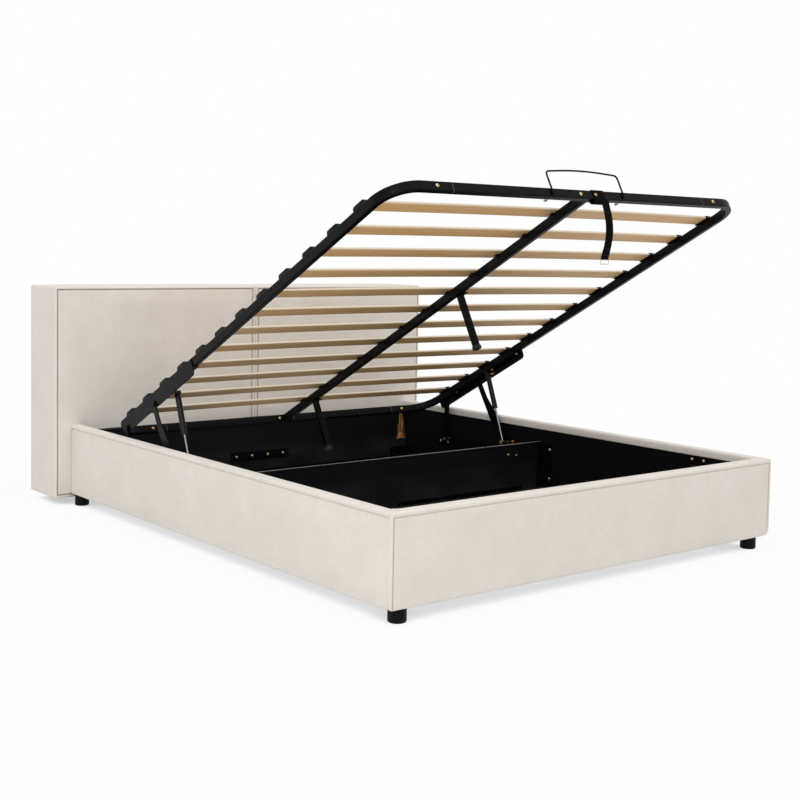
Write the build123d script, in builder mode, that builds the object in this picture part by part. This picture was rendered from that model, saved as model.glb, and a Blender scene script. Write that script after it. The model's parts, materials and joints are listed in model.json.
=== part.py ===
"""Ottoman storage bed: upholstered box base and headboard, lift-up slatted deck on links and gas struts."""
from build123d import *
import os
from math import atan2, cos, degrees, hypot, radians, sin

os.makedirs("parts", exist_ok=True)

# Frame: +X to the right seen from the foot, +Y towards the headboard, +Z up, floor at zero.
# All lengths are millimetres and all angles degrees. The deck is drawn open, as it stands at its stop.

# Overall sizes: the deck sets the base round it
deck_width = 1600
deck_length = 1980
deck_side_gap = 30
deck_foot_gap = 8
deck_head_gap = 25
headboard_overhang = 63
headboard_height = 880
headboard_thickness = 240
headboard_clearance = 30
rail_top = 326
foot_height = 47

# Rails: a board with a padded cover outside and a black lining inside
rail_thickness = 42
board_thickness = 18
lining_thickness = 2
cover_top = 12
cover_lap = 28
corner_lap = 12.3
cover_edge_radius = 7
fitting_plate = 2

# Headboard halves
headboard_pad = 38
headboard_side_pad = 14
headboard_back_cloth = 3
headboard_board = 18
headboard_joint = 1
headboard_edge_radius = 9
frame_bottom_gap = 2

# Head rail and the plate that joins the headboard halves to it
head_rail_thickness = 45
head_rail_top = 300
joining_plate_size = (300, 40, 3)
joining_bolt_height = 134
joining_bolt_spread = (41, 120)

# Floor, ledgers and divider
floor_thickness = 3
floor_play = 2.5
ledger_width = 22
divider_setback = 972
divider_thickness = 15
divider_cap_size = (17, 8)
divider_top = 248
divider_bracket_width = 62
divider_bracket_bolt_heights = (94, 218)
divider_bracket_bolt_inset = 48
divider_bracket_end_gap = 24

# Corner brackets and feet
corner_bracket_length = 95
corner_bracket_rise = 60
corner_bolt_inset = 30
foot_radius = 28
foot_chamfer = 3
front_foot_inset = (62, 46)
back_foot_inset = (40, 30)

# Deck frame of rectangular steel tube
tube_width = 22
tube_height = 32
tube_wall = 1.5
tube_corner_radius = 4
deck_bend_radius = 100
tube_joint_place = 572
tube_bolt_place = 633
centre_bolt_place = 34
spigot_length = 110
spigot_play = 0.2
centre_bar_width = 22
centre_bar_height = 32

# Slats in plastic holders
slat_rows = 12
first_slat = 172
slat_width = 53
slat_thickness = 8
slat_crown = 5
holder_wall = 4
holder_floor = 2
holder_roof = 2.5
holder_play = 0.3
holder_depth = 19
centre_pad_size = (16, 20)

# Support legs under the centre bar
leg_foot_place = 706
leg_head_setback = 258
leg_size = 22
leg_wall = 1.5
leg_flange = (44, 3)
leg_cap_wall = 2
leg_cap_length = 12
leg_floor_gap = 0.5

# Open and closed places of the deck
open_angle = 28
deck_drop = 26
rear_pivot_open_setback = 372
rear_pivot_open_height = 350

# Lift mechanism: setbacks from the deck's head end and depths below its top, then links and struts
lift_plate_setbacks = (704, 100)
lift_plate_thickness = 4
lift_plate_top = 4
lift_plate_bottom = 63
lift_plate_radius = 18
lift_flange_thickness = 3
lift_flange_share = 0.75
lift_bolt_setbacks = (677, 505, 242)
pivot_depth = 48
rear_pivot_setback = 139
front_pivot_setback = 383
strut_pivot_setback = 496
strut_pivot_depth = 50
rear_pivot_reach = 137.8
front_pivot_reach = 261.2
link_gap = 0.5
link_thickness = 5
rear_link_width = 27
front_link_width = 27
front_link_foot_width = 46
front_link_flare_shares = (0.42, 0.72)
pivot_pin_radius = 5
pivot_play = 0.08
pivot_head_radius = 8.5
pivot_head_height = 3
pin_short = 0.3
base_plate_thickness = 4
base_plate_bottom = 148
base_plate_strip_top = 190
base_plate_front_margin = 84
base_plate_rear_margin = 70
base_plate_ear_radius = 17
base_bolt_height = 166
base_bolt_insets = (17, 70)
strut_pin_setback = 797
strut_pin_height = 226
strut_pin_radius = 4
strut_centre_place = 765
strut_radius = 11
strut_bore_radius = 9.6
strut_rod_radius = 4
strut_cylinder_length = 157
strut_cap_length = 12
strut_rod_length = 180
strut_piston_length = 15
strut_eye_radius = 9
strut_nut_radius = 7
strut_nut_length = 5

# Rest brackets for the closed deck, on the side rails near the foot
rest_bracket_place = 298
rest_bracket_length = 86
rest_bracket_rise = 31
rest_bracket_thickness = 3
rest_bracket_seat = 45
rest_bracket_gap = 0.5
rest_bolt_height = 283
rest_bolt_spread = 27

# Bolts
bolt_head_radius = 6.5
bolt_head_height = 4.5
bolt_head_taper = 24
bolt_shank_radius = 3
bolt_play = 0.15
tube_bolt_depth = 8

# Mattress stop of bent wire in front of the foot tube
stop_half_width = 164
stop_height = 58
stop_crest = 70
stop_wire_radius = 3
stop_corner_radius = 14
stop_crest_radius = 1300
stop_face_gap = 1
stop_hole_depth = 24
stop_foot_radius = 3.6
stop_tail = 20
stop_nut_radius = 5.5
stop_nut_length = 18

# Pull strap on the foot tube
strap_centre = 70
strap_width = 34
strap_loop_span = (20, 74)
strap_thickness = 1.8
strap_play = 0.3
strap_drop = 192
strap_bulge = 21
strap_lean = 6
strap_ring_size = (42, 16)
strap_ring_wire = 3

# Pouch of spare fixings under the head tube
pouch_centre = 632
pouch_top_width = 26
pouch_bottom_width = 50
pouch_height = 118
pouch_thickness = 8
pouch_wall = 0.6
pouch_gap = 2.2
spare_bolt_count = 5
spare_bolt_radius = 3
spare_bolt_length = 26
spare_bolt_short_share = 0.67

cut_over = 10

# Places worked out from the sizes above
bed_width = deck_width + 2 * (deck_side_gap + rail_thickness)
base_length = rail_thickness + deck_foot_gap + deck_length + deck_head_gap + head_rail_thickness
headboard_width = bed_width + 2 * headboard_overhang
lift_plate_start, lift_plate_end = (deck_length - setback for setback in lift_plate_setbacks)
lift_bolt_places = [deck_length - setback for setback in lift_bolt_setbacks]
rear_pivot_place = deck_length - rear_pivot_setback
front_pivot_place = deck_length - front_pivot_setback
strut_pivot_place = deck_length - strut_pivot_setback
leg_places = (leg_foot_place, deck_length - leg_head_setback)
half_bed = bed_width / 2
foot_y = -(base_length + headboard_thickness) / 2
head_y = foot_y + base_length
inner_half = half_bed - rail_thickness
pad_thickness = rail_thickness - board_thickness - lining_thickness
board_outer = half_bed - pad_thickness
board_inner = board_outer - board_thickness
board_bottom = foot_height + fitting_plate
board_top = rail_top - cover_top
head_rail_y = head_y - head_rail_thickness
floor_bottom = foot_height + fitting_plate
floor_top = floor_bottom + floor_thickness
floor_half = inner_half - floor_play
divider_y = head_y - divider_setback
half_deck = deck_width / 2
tube_centre = half_deck - tube_width / 2

# Deck frame: u runs from its foot face towards the head, d is measured up from its top face
tilt = radians(open_angle)
along = (cos(tilt), -sin(tilt))
normal = (sin(tilt), cos(tilt))
rear_top_open = (head_y - rear_pivot_open_setback, rear_pivot_open_height)
deck_y = rear_top_open[0] - rear_pivot_place * along[0] + pivot_depth * normal[0]
deck_z = rear_top_open[1] - rear_pivot_place * along[1] + pivot_depth * normal[1]
closed_foot_y = foot_y + rail_thickness + deck_foot_gap
closed_top = rail_top - deck_drop


def deck_point(u, d):
    """World Y and Z of a point of the open deck."""
    return (deck_y + u * along[0] + d * normal[0], deck_z + u * along[1] + d * normal[1])


def closed_point(u, d):
    """World Y and Z of the same point once the deck is shut."""
    return (closed_foot_y + u, closed_top + d)


def base_pivot(u, d, reach):
    """Fixed pivot of a link whose top pivot keeps its distance in both end positions."""
    y_open, z_open = deck_point(u, d)
    y_shut, z_shut = closed_point(u, d)
    travel = hypot(y_shut - y_open, z_shut - z_open)
    away = ((z_shut - z_open) / travel, (y_open - y_shut) / travel)
    return ((y_open + y_shut) / 2 + reach * away[0], (z_open + z_shut) / 2 + reach * away[1])


def turn(pivot, start, end):
    """Angle in degrees that a link turns about its pivot, from start to end."""
    first = atan2(start[1] - pivot[1], start[0] - pivot[0])
    last = atan2(end[1] - pivot[1], end[0] - pivot[0])
    return degrees(last - first)


rear_base = base_pivot(rear_pivot_place, -pivot_depth, rear_pivot_reach)
front_base = base_pivot(front_pivot_place, -pivot_depth, front_pivot_reach)
strut_base = (head_y - strut_pin_setback, strut_pin_height)
rear_top = deck_point(rear_pivot_place, -pivot_depth)
front_top = deck_point(front_pivot_place, -pivot_depth)
strut_top = deck_point(strut_pivot_place, -strut_pivot_depth)
strut_shut = closed_point(strut_pivot_place, -strut_pivot_depth)
strut_open_length = hypot(strut_top[0] - strut_base[0], strut_top[1] - strut_base[1])
strut_shut_length = hypot(strut_shut[0] - strut_base[0], strut_shut[1] - strut_base[1])
slat_pitch = (deck_length - 2 * first_slat) / (slat_rows - 1)
slat_places = [first_slat + row * slat_pitch for row in range(slat_rows)]
sides = (("left", -1), ("right", 1))

# Planes
deck_plane = Plane(origin=(0, deck_y, deck_z), x_dir=(1, 0, 0), z_dir=(0, normal[0], normal[1]))


def cross_plane(u):
    """Plane across the deck at u, with X across and d upwards, facing the foot."""
    y, z = deck_point(u, 0)
    return Plane(origin=(0, y, z), x_dir=(1, 0, 0), z_dir=(0, -along[0], -along[1]))


def deck_side_plane(x):
    """Plane along the deck's side at x, with u along and d upwards, facing +X."""
    return Plane(origin=(x, deck_y, deck_z), x_dir=(0, along[0], along[1]), z_dir=(1, 0, 0))


def wall_plane(y):
    """Upright plane at y, with X across and Z upwards, facing the foot."""
    return Plane(origin=(0, y, 0), x_dir=(1, 0, 0), z_dir=(0, -1, 0))


def side_plane(x):
    """Upright plane at x, with Y across and Z upwards, facing +X."""
    return Plane(origin=(x, 0, 0), x_dir=(0, 1, 0), z_dir=(1, 0, 0))


def save(builder, name):
    """Label a finished piece and write it."""
    builder.part.label = name
    export_step(builder.part, f"parts/{name}.step")


def block(plane, low, high, depth):
    """Extrude the rectangle from low to high on the plane by the depth."""
    width = high[0] - low[0]
    height = high[1] - low[1]
    with BuildSketch(plane) as outline:
        with Locations(((low[0] + high[0]) / 2, (low[1] + high[1]) / 2)):
            Rectangle(abs(width), abs(height))
    extrude(outline.sketch, amount=depth)


def disc(plane, spot, radius, depth, mode=Mode.ADD):
    """Extrude a round of the radius at the spot on the plane."""
    with BuildSketch(plane) as outline:
        with Locations(spot):
            Circle(radius)
    extrude(outline.sketch, amount=depth, mode=mode)


def inward(x, sign):
    """Upright plane at x on one side of the bed, facing the bed's middle."""
    return Plane(origin=(sign * x, 0, 0), x_dir=(0, -sign, 0), z_dir=(-sign, 0, 0))


def bolt(plane, shank):
    """Tapered bolt head on the plane at its origin, with a shank behind it."""
    with BuildSketch(plane) as head:
        Circle(bolt_head_radius)
    extrude(head.sketch, amount=bolt_head_height, taper=bolt_head_taper)
    with BuildSketch(plane) as shaft:
        Circle(bolt_shank_radius)
    extrude(shaft.sketch, amount=-shank)


def bolt_hole(plane, depth):
    """Clearance hole behind a bolt head."""
    with BuildSketch(plane) as outline:
        Circle(bolt_shank_radius + bolt_play)
    extrude(outline.sketch, amount=-depth, mode=Mode.SUBTRACT)


# Side rails: board, lining and padded cover
for side, sign in sides:
    with BuildPart() as rail_board:
        start = foot_y + pad_thickness
        block(wall_plane(head_y), (sign * board_inner, board_bottom), (sign * board_outer, board_top),
              head_y - start)
    save(rail_board, f"side_rail_board_{side}")

    with BuildPart() as rail_cover:
        with BuildSketch(wall_plane(head_y)) as section:
            with BuildLine():
                Polyline((sign * half_bed, foot_height), (sign * half_bed, rail_top),
                         (sign * inner_half, rail_top), (sign * inner_half, rail_top - cover_lap),
                         (sign * board_inner, rail_top - cover_lap), (sign * board_inner, board_top),
                         (sign * board_outer, board_top), (sign * board_outer, foot_height), close=True)
            make_face()
            outer_edge = section.vertices().group_by(Axis.X)[-1 if sign > 0 else 0]
            fillet(outer_edge, cover_edge_radius)
        extrude(amount=head_y - foot_y - corner_lap)
    save(rail_cover, f"side_rail_cover_{side}")

# Foot rail
with BuildPart() as foot_board:
    block(wall_plane(foot_y + pad_thickness + board_thickness), (-inner_half, board_bottom),
          (inner_half, board_top), board_thickness)
save(foot_board, "foot_rail_board")

with BuildPart() as foot_cover:
    with BuildSketch(side_plane(-inner_half)):
        with BuildLine():
            Polyline((foot_y, foot_height), (foot_y, rail_top), (foot_y + rail_thickness, rail_top),
                     (foot_y + rail_thickness, rail_top - cover_lap),
                     (foot_y + rail_thickness - lining_thickness, rail_top - cover_lap),
                     (foot_y + rail_thickness - lining_thickness, board_top),
                     (foot_y + pad_thickness, board_top), (foot_y + pad_thickness, foot_height), close=True)
        make_face()
    extrude(amount=2 * inner_half)
    block(wall_plane(foot_y + corner_lap), (-half_bed, foot_height), (half_bed, rail_top), corner_lap)
    front_rim = foot_cover.faces().sort_by(Axis.Y)[0].edges()
    fillet(front_rim, cover_edge_radius)
save(foot_cover, "foot_rail_cover")

# Black linings inside the three rails
with BuildPart() as linings:
    lining_top = rail_top - cover_lap
    for side, sign in sides:
        block(wall_plane(head_y), (sign * inner_half, board_bottom), (sign * board_inner, lining_top),
              head_y - foot_y - rail_thickness)
    block(wall_plane(foot_y + rail_thickness), (-inner_half, board_bottom), (inner_half, lining_top),
          lining_thickness)
save(linings, "rail_linings")

# Headboard: two padded halves, each on its own carcass
for side, sign in sides:
    inner_x = headboard_joint / 2
    outer_x = headboard_width / 2
    frame_inner = inner_x + headboard_back_cloth
    frame_outer = outer_x - headboard_side_pad
    frame_front = head_y + headboard_pad
    frame_back = head_y + headboard_thickness - headboard_back_cloth
    frame_low = headboard_clearance + frame_bottom_gap
    frame_high = headboard_height - headboard_side_pad
    with BuildPart() as headboard_cover:
        block(wall_plane(head_y + headboard_thickness), (sign * inner_x, headboard_clearance),
              (sign * outer_x, headboard_height), headboard_thickness)
        front_rim = headboard_cover.faces().sort_by(Axis.Y)[0].edges()
        fillet(front_rim, headboard_edge_radius)
        cavity_x = sign * (frame_inner + frame_outer) / 2
        cavity_low = headboard_clearance - cut_over
        with BuildSketch(wall_plane(frame_back)):
            with Locations((cavity_x, (frame_high + cavity_low) / 2)):
                Rectangle(frame_outer - frame_inner, frame_high - cavity_low)
        extrude(amount=frame_back - frame_front, mode=Mode.SUBTRACT)
    save(headboard_cover, f"headboard_cover_{side}")

    with BuildPart() as carcass:
        block(wall_plane(frame_back), (sign * frame_inner, frame_low), (sign * frame_outer, frame_high),
              frame_back - frame_front)
        bay_height = (frame_high - frame_low - 3 * headboard_board) / 2
        bay_width = frame_outer - frame_inner - 2 * headboard_board
        for bay in range(2):
            bay_low = frame_low + headboard_board + bay * (bay_height + headboard_board)
            with BuildSketch(wall_plane(frame_back)):
                with Locations((sign * (frame_inner + frame_outer) / 2, bay_low + bay_height / 2)):
                    Rectangle(bay_width, bay_height)
            extrude(amount=frame_back - frame_front - headboard_board, mode=Mode.SUBTRACT)
    save(carcass, f"headboard_frame_{side}")

# Head rail and joining plate
with BuildPart() as head_rail:
    block(wall_plane(head_y), (-inner_half, board_bottom), (inner_half, head_rail_top), head_rail_thickness)
save(head_rail, "head_rail")

plate_length, plate_height, plate_thickness = joining_plate_size
joining_bolt_planes = [Plane(origin=(sign * spread, head_rail_y - plate_thickness, joining_bolt_height),
                             x_dir=(1, 0, 0), z_dir=(0, -1, 0))
                       for sign in (-1, 1) for spread in joining_bolt_spread]
with BuildPart() as joining_plate:
    block(wall_plane(head_rail_y), (-plate_length / 2, joining_bolt_height - plate_height / 2),
          (plate_length / 2, joining_bolt_height + plate_height / 2), plate_thickness)
    for place in joining_bolt_planes:
        bolt_hole(place, plate_thickness)
save(joining_plate, "head_joining_plate")

# Floor panels, divider and the ledger angles that carry them
foot_panel_start = foot_y + rail_thickness + floor_play
foot_panel_end = divider_y - floor_play
head_panel_start = divider_y + divider_thickness + floor_play
head_panel_end = head_rail_y - floor_play
floor_runs = (("foot", foot_panel_start, foot_panel_end), ("head", head_panel_start, head_panel_end))
for name, start, end in floor_runs:
    with BuildPart() as floor_panel:
        block(Plane.XY.offset(floor_bottom), (-floor_half, start), (floor_half, end), floor_thickness)
    save(floor_panel, f"floor_panel_{name}")

cap_width, cap_height = divider_cap_size
with BuildPart() as divider:
    block(wall_plane(divider_y + divider_thickness), (-floor_half, foot_height),
          (floor_half, divider_top - cap_height), divider_thickness)
save(divider, "divider_board")

with BuildPart() as divider_cap:
    cap_y = divider_y + divider_thickness / 2 + cap_width / 2
    cap_low = divider_top - cap_height
    block(wall_plane(cap_y), (-floor_half, cap_low), (floor_half, divider_top), cap_width)
    fillet(divider_cap.faces().sort_by(Axis.Z)[-1].edges().filter_by(Axis.X), fitting_plate)
save(divider_cap, "divider_cap")


def ledger(plane, length):
    """Angle strip along the plane's normal: its origin is the outer lower corner."""
    with BuildSketch(plane) as outline:
        with BuildLine():
            Polyline((0, 0), (ledger_width, 0), (ledger_width, fitting_plate),
                     (fitting_plate, fitting_plate), (fitting_plate, ledger_width),
                     (0, ledger_width), close=True)
        make_face()
    extrude(outline.sketch, amount=length)


with BuildPart() as ledgers:
    side_runs = ((foot_y + rail_thickness + corner_bracket_length + ledger_width,
                  divider_y - divider_bracket_width - ledger_width),
                 (divider_y + divider_thickness + ledger_width, head_rail_y - corner_bracket_length))
    for start, end in side_runs:
        ledger(Plane(origin=(-inner_half, end, foot_height), x_dir=(1, 0, 0), z_dir=(0, -1, 0)),
               end - start)
        ledger(Plane(origin=(inner_half, start, foot_height), x_dir=(-1, 0, 0), z_dir=(0, 1, 0)),
               end - start)
    cross_run = inner_half - corner_bracket_length - ledger_width
    centre_foot_run = cross_run - foot_radius - ledger_width
    foot_lining_y = foot_y + rail_thickness
    ledger(Plane(origin=(cross_run, head_rail_y, foot_height), x_dir=(0, -1, 0), z_dir=(-1, 0, 0)),
           2 * cross_run)
    ledger(Plane(origin=(-cross_run, foot_lining_y, foot_height), x_dir=(0, 1, 0), z_dir=(1, 0, 0)),
           2 * cross_run)
    for sign in (-1, 1):
        near = foot_radius + ledger_width
        start_x = near if sign > 0 else -cross_run
        ledger(Plane(origin=(start_x, divider_y + divider_thickness, foot_height), x_dir=(0, 1, 0),
                     z_dir=(1, 0, 0)), cross_run - near)
        ledger(Plane(origin=(start_x + cross_run - near, divider_y, foot_height), x_dir=(0, -1, 0),
                     z_dir=(-1, 0, 0)), cross_run - near)
save(ledgers, "floor_ledgers")

# Divider brackets
bracket_bottom = floor_top + floor_play
bracket_top = divider_top - cap_height - floor_play
divider_bolt_y = divider_y - divider_bracket_bolt_inset
divider_bolt_planes = [Plane(origin=(sign * (inner_half - fitting_plate), divider_bolt_y, height),
                             x_dir=(0, -sign, 0), z_dir=(-sign, 0, 0))
                       for side, sign in sides for height in divider_bracket_bolt_heights]
with BuildPart() as divider_brackets:
    for side, sign in sides:
        block(wall_plane(divider_y), (sign * (inner_half - fitting_plate), bracket_bottom),
              (sign * inner_half, bracket_top), divider_bracket_width)
        block(wall_plane(divider_y), (sign * (inner_half - divider_bracket_width / 2), bracket_bottom),
              (sign * inner_half, bracket_top), fitting_plate)
    for place in divider_bolt_planes:
        bolt_hole(place, fitting_plate)
save(divider_brackets, "divider_brackets")

# Corner brackets: a foot plate under the boards and two upright flanges in each corner
corner_top = floor_bottom + corner_bracket_rise
corners = [(sign, end) for side, sign in sides for end in (-1, 1)]
corner_bolt_planes = []
for sign, end in corners:
    corner_y = foot_y + rail_thickness if end < 0 else head_rail_y
    bolt_z = corner_top - corner_bolt_inset / 2
    bolt_y = corner_y - end * (corner_bracket_length - corner_bolt_inset)
    corner_bolt_planes.append(Plane(origin=(sign * (inner_half - fitting_plate), bolt_y, bolt_z),
                                    x_dir=(0, -sign, 0), z_dir=(-sign, 0, 0)))
    corner_bolt_planes.append(Plane(origin=(sign * (inner_half - corner_bracket_length + corner_bolt_inset),
                                            corner_y - end * fitting_plate, bolt_z),
                                    x_dir=(end, 0, 0), z_dir=(0, -end, 0)))
with BuildPart() as corner_brackets:
    for sign, end in corners:
        corner_y = foot_y + rail_thickness if end < 0 else head_rail_y
        plate_y = foot_y + pad_thickness if end < 0 else head_y
        inner_y = corner_y - end * corner_bracket_length
        block(Plane.XY.offset(foot_height), (sign * (inner_half - corner_bracket_length), inner_y),
              (sign * board_outer, plate_y), fitting_plate)
        block(Plane.XY.offset(foot_height), (sign * (inner_half - fitting_plate), inner_y),
              (sign * inner_half, corner_y), corner_top - foot_height)
        block(Plane.XY.offset(foot_height), (sign * (inner_half - corner_bracket_length), corner_y),
              (sign * inner_half, corner_y - end * fitting_plate), corner_top - foot_height)
    for place in corner_bolt_planes:
        bolt_hole(place, fitting_plate)
save(corner_brackets, "corner_brackets")

# Feet
foot_places = {
    "foot_front_left": (-half_bed + front_foot_inset[0], foot_y + front_foot_inset[1]),
    "foot_front_right": (half_bed - front_foot_inset[0], foot_y + front_foot_inset[1]),
    "foot_back_left": (-half_bed + back_foot_inset[0], head_y - back_foot_inset[1]),
    "foot_back_right": (half_bed - back_foot_inset[0], head_y - back_foot_inset[1]),
    "foot_centre": (0, divider_y + divider_thickness / 2),
}
for name, place in foot_places.items():
    with BuildPart() as foot:
        disc(Plane.XY, place, foot_radius, foot_height)
        chamfer(foot.faces().sort_by(Axis.Z)[0].edges(), foot_chamfer)
    save(foot, name)

# Rest brackets on which the shut deck's side tubes lie
rest_seat_z = closed_top - tube_height - rest_bracket_gap
rest_y = foot_y + rest_bracket_place
rest_bolt_planes = [Plane(origin=(sign * (inner_half - rest_bracket_thickness), bolt_y, rest_bolt_height),
                          x_dir=(0, -sign, 0), z_dir=(-sign, 0, 0))
                    for side, sign in sides
                    for bolt_y in (rest_y - rest_bolt_spread, rest_y + rest_bolt_spread)]
with BuildPart() as rest_brackets:
    for side, sign in sides:
        low = rest_seat_z - rest_bracket_thickness
        head_end = wall_plane(rest_y + rest_bracket_length / 2)
        block(head_end, (sign * (inner_half - rest_bracket_thickness), low),
              (sign * inner_half, low + rest_bracket_rise), rest_bracket_length)
        block(head_end, (sign * (inner_half - rest_bracket_seat), low),
              (sign * inner_half, rest_seat_z), rest_bracket_length)
    for place in rest_bolt_planes:
        bolt_hole(place, rest_bracket_thickness)
save(rest_brackets, "deck_rest_brackets")

# Base plates of the lift mechanism, bolted to the side rails
base_plate_inner = inner_half - base_plate_thickness
base_plate_start = front_base[0] - base_plate_front_margin
base_plate_end = rear_base[0] + base_plate_rear_margin
base_bolt_ys = [base_plate_start + base_bolt_insets[0], base_plate_start + base_bolt_insets[1],
                base_plate_end - base_bolt_insets[1], base_plate_end - base_bolt_insets[0]]
base_bolt_planes = {side: [Plane(origin=(sign * base_plate_inner, y, base_bolt_height), x_dir=(0, -sign, 0),
                                 z_dir=(-sign, 0, 0)) for y in base_bolt_ys] for side, sign in sides}
for side, sign in sides:
    with BuildPart() as base_plate:
        face = side_plane(sign * inner_half)
        depth = -sign * base_plate_thickness
        block(face, (base_plate_start, base_plate_bottom), (base_plate_end, base_plate_strip_top), depth)
        ear_end = front_base[0] + base_plate_ear_radius
        ear_start = strut_base[0] - base_plate_ear_radius
        ear_top = max(front_base[1], strut_base[1]) + base_plate_ear_radius
        block(face, (ear_start, base_plate_bottom), (ear_end, ear_top), depth)
        block(face, (rear_base[0] - base_plate_ear_radius, base_plate_bottom),
              (rear_base[0] + base_plate_ear_radius, rear_base[1] + base_plate_ear_radius), depth)
        for place in base_bolt_planes[side]:
            bolt_hole(place, base_plate_thickness)
    save(base_plate, f"base_plate_{side}")

# Pivot pins and strut studs fixed in the base plates
link_inner = half_deck + lift_plate_thickness + link_gap
link_outer = link_inner + link_thickness
strut_inner = strut_centre_place - strut_radius
strut_outer = strut_centre_place + strut_radius
strut_eye_width = 2 * strut_radius
with BuildPart() as base_pins:
    for side, sign in sides:
        for spot in (rear_base, front_base):
            start = inward(base_plate_inner, sign)
            local = (-sign * spot[0], spot[1])
            disc(start, local, pivot_head_radius, base_plate_inner - link_outer - pin_short)
            disc(start, local, pivot_pin_radius, base_plate_inner - link_inner + pin_short)
            disc(inward(link_inner - pin_short, sign), local, pivot_head_radius, pivot_head_height)
        local = (-sign * strut_base[0], strut_base[1])
        disc(inward(base_plate_inner, sign), local, strut_pin_radius,
             base_plate_inner - strut_inner + pin_short)
        disc(inward(base_plate_inner, sign), local, strut_nut_radius, strut_nut_length)
        disc(inward(strut_inner - pin_short, sign), local, strut_nut_radius, strut_nut_length)
save(base_pins, "base_pivot_pins")

# Bolts of the base
with BuildPart() as base_bolts:
    for place in joining_bolt_planes:
        bolt(place, plate_thickness)
    for place in divider_bolt_planes + corner_bolt_planes:
        bolt(place, fitting_plate)
    for place in rest_bolt_planes:
        bolt(place, rest_bracket_thickness)
    for side, sign in sides:
        for place in base_bolt_planes[side]:
            bolt(place, base_plate_thickness)
save(base_bolts, "base_bolts")


# Deck tubes
def tube_section(width, height, wall, corner):
    """Hollow rectangular tube section with rounded corners."""
    RectangleRounded(width, height, corner)
    RectangleRounded(width - 2 * wall, height - 2 * wall, corner - wall, mode=Mode.SUBTRACT)


mid_plane = deck_plane.offset(-tube_height / 2)
foot_row = tube_width / 2
head_row = deck_length - tube_width / 2
foot_face = cross_plane(0)
head_face = cross_plane(deck_length - tube_width)
deck_bolt_xs = (-tube_bolt_place, -centre_bolt_place, centre_bolt_place, tube_bolt_place)
tube_mid = -tube_height / 2
head_bolt_seats = (0, fitting_plate, fitting_plate, 0)
foot_tube_bolts = [Plane(origin=foot_face.from_local_coords((x, tube_mid, 0)), x_dir=foot_face.x_dir,
                         z_dir=foot_face.z_dir) for x in deck_bolt_xs]
head_tube_bolts = [Plane(origin=head_face.from_local_coords((x, tube_mid, seat)), x_dir=head_face.x_dir,
                         z_dir=head_face.z_dir) for x, seat in zip(deck_bolt_xs, head_bolt_seats)]
flange_underside = -tube_height - lift_flange_thickness
plate_bolts = {side: [Plane(origin=deck_plane.from_local_coords((sign * tube_centre, u, flange_underside)),
                            x_dir=deck_plane.x_dir, z_dir=-deck_plane.z_dir) for u in lift_bolt_places]
               for side, sign in sides}

for side, sign in sides:
    with BuildPart() as side_tube:
        with BuildLine(mid_plane) as route:
            FilletPolyline((sign * tube_joint_place, foot_row), (sign * tube_centre, foot_row),
                           (sign * tube_centre, head_row), (sign * tube_joint_place, head_row),
                           radius=deck_bend_radius)
        start = mid_plane.from_local_coords((sign * tube_joint_place, foot_row, 0))
        with BuildSketch(Plane(origin=start, x_dir=mid_plane.y_dir, z_dir=(sign, 0, 0))):
            tube_section(tube_width, tube_height, tube_wall, tube_corner_radius)
        sweep()
        for place in foot_tube_bolts + head_tube_bolts:
            if place.origin.X * sign > tube_joint_place:
                bolt_hole(place, tube_bolt_depth)
        for place in plate_bolts[side]:
            bolt_hole(place, tube_bolt_depth)
    save(side_tube, f"side_tube_{side}")

for name, row, bolts in (("foot", foot_row, foot_tube_bolts), ("head", head_row, head_tube_bolts)):
    with BuildPart() as cross_tube:
        start = mid_plane.from_local_coords((-tube_joint_place, row, 0))
        with BuildSketch(Plane(origin=start, x_dir=mid_plane.y_dir, z_dir=(1, 0, 0))):
            tube_section(tube_width, tube_height, tube_wall, tube_corner_radius)
        extrude(amount=2 * tube_joint_place)
        for place in bolts[1:3]:
            bolt_hole(place, tube_width + cut_over if name == "foot" else tube_bolt_depth)
        if name == "foot":
            for way in (-1, 1):
                disc(cross_plane(-cut_over), (way * stop_half_width, -stop_hole_depth),
                     stop_wire_radius + spigot_play, -tube_width - 2 * cut_over, Mode.SUBTRACT)
    save(cross_tube, f"{name}_tube")

# Spigots inside the four tube joints
with BuildPart() as spigots:
    spigot_width = tube_width - 2 * (tube_wall + spigot_play)
    spigot_height = tube_height - 2 * (tube_wall + spigot_play)
    for row in (foot_row, head_row):
        for side, sign in sides:
            start = mid_plane.from_local_coords((sign * tube_joint_place - spigot_length / 2, row, 0))
            with BuildSketch(Plane(origin=start, x_dir=mid_plane.y_dir, z_dir=(1, 0, 0))):
                tube_section(spigot_width, spigot_height, tube_wall, tube_corner_radius - tube_wall)
            extrude(amount=spigot_length)
save(spigots, "tube_spigots")

# Centre bar with its end plates
with BuildPart() as centre_bar:
    bar_start = tube_width
    bar_end = deck_length - tube_width
    bar_mid = -centre_bar_height / 2
    with BuildSketch(cross_plane(bar_end)):
        with Locations((0, bar_mid)):
            tube_section(centre_bar_width, centre_bar_height, tube_wall, tube_corner_radius)
    extrude(amount=bar_end - bar_start)
    end_half = centre_bolt_place + bolt_head_radius + bolt_play
    for u in (bar_start + fitting_plate, bar_end):
        block(cross_plane(u), (-end_half, -centre_bar_height), (end_half, -tube_corner_radius),
              fitting_plate)
    for place in head_tube_bolts[1:3]:
        bolt_hole(place, fitting_plate)
save(centre_bar, "centre_bar")


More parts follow.
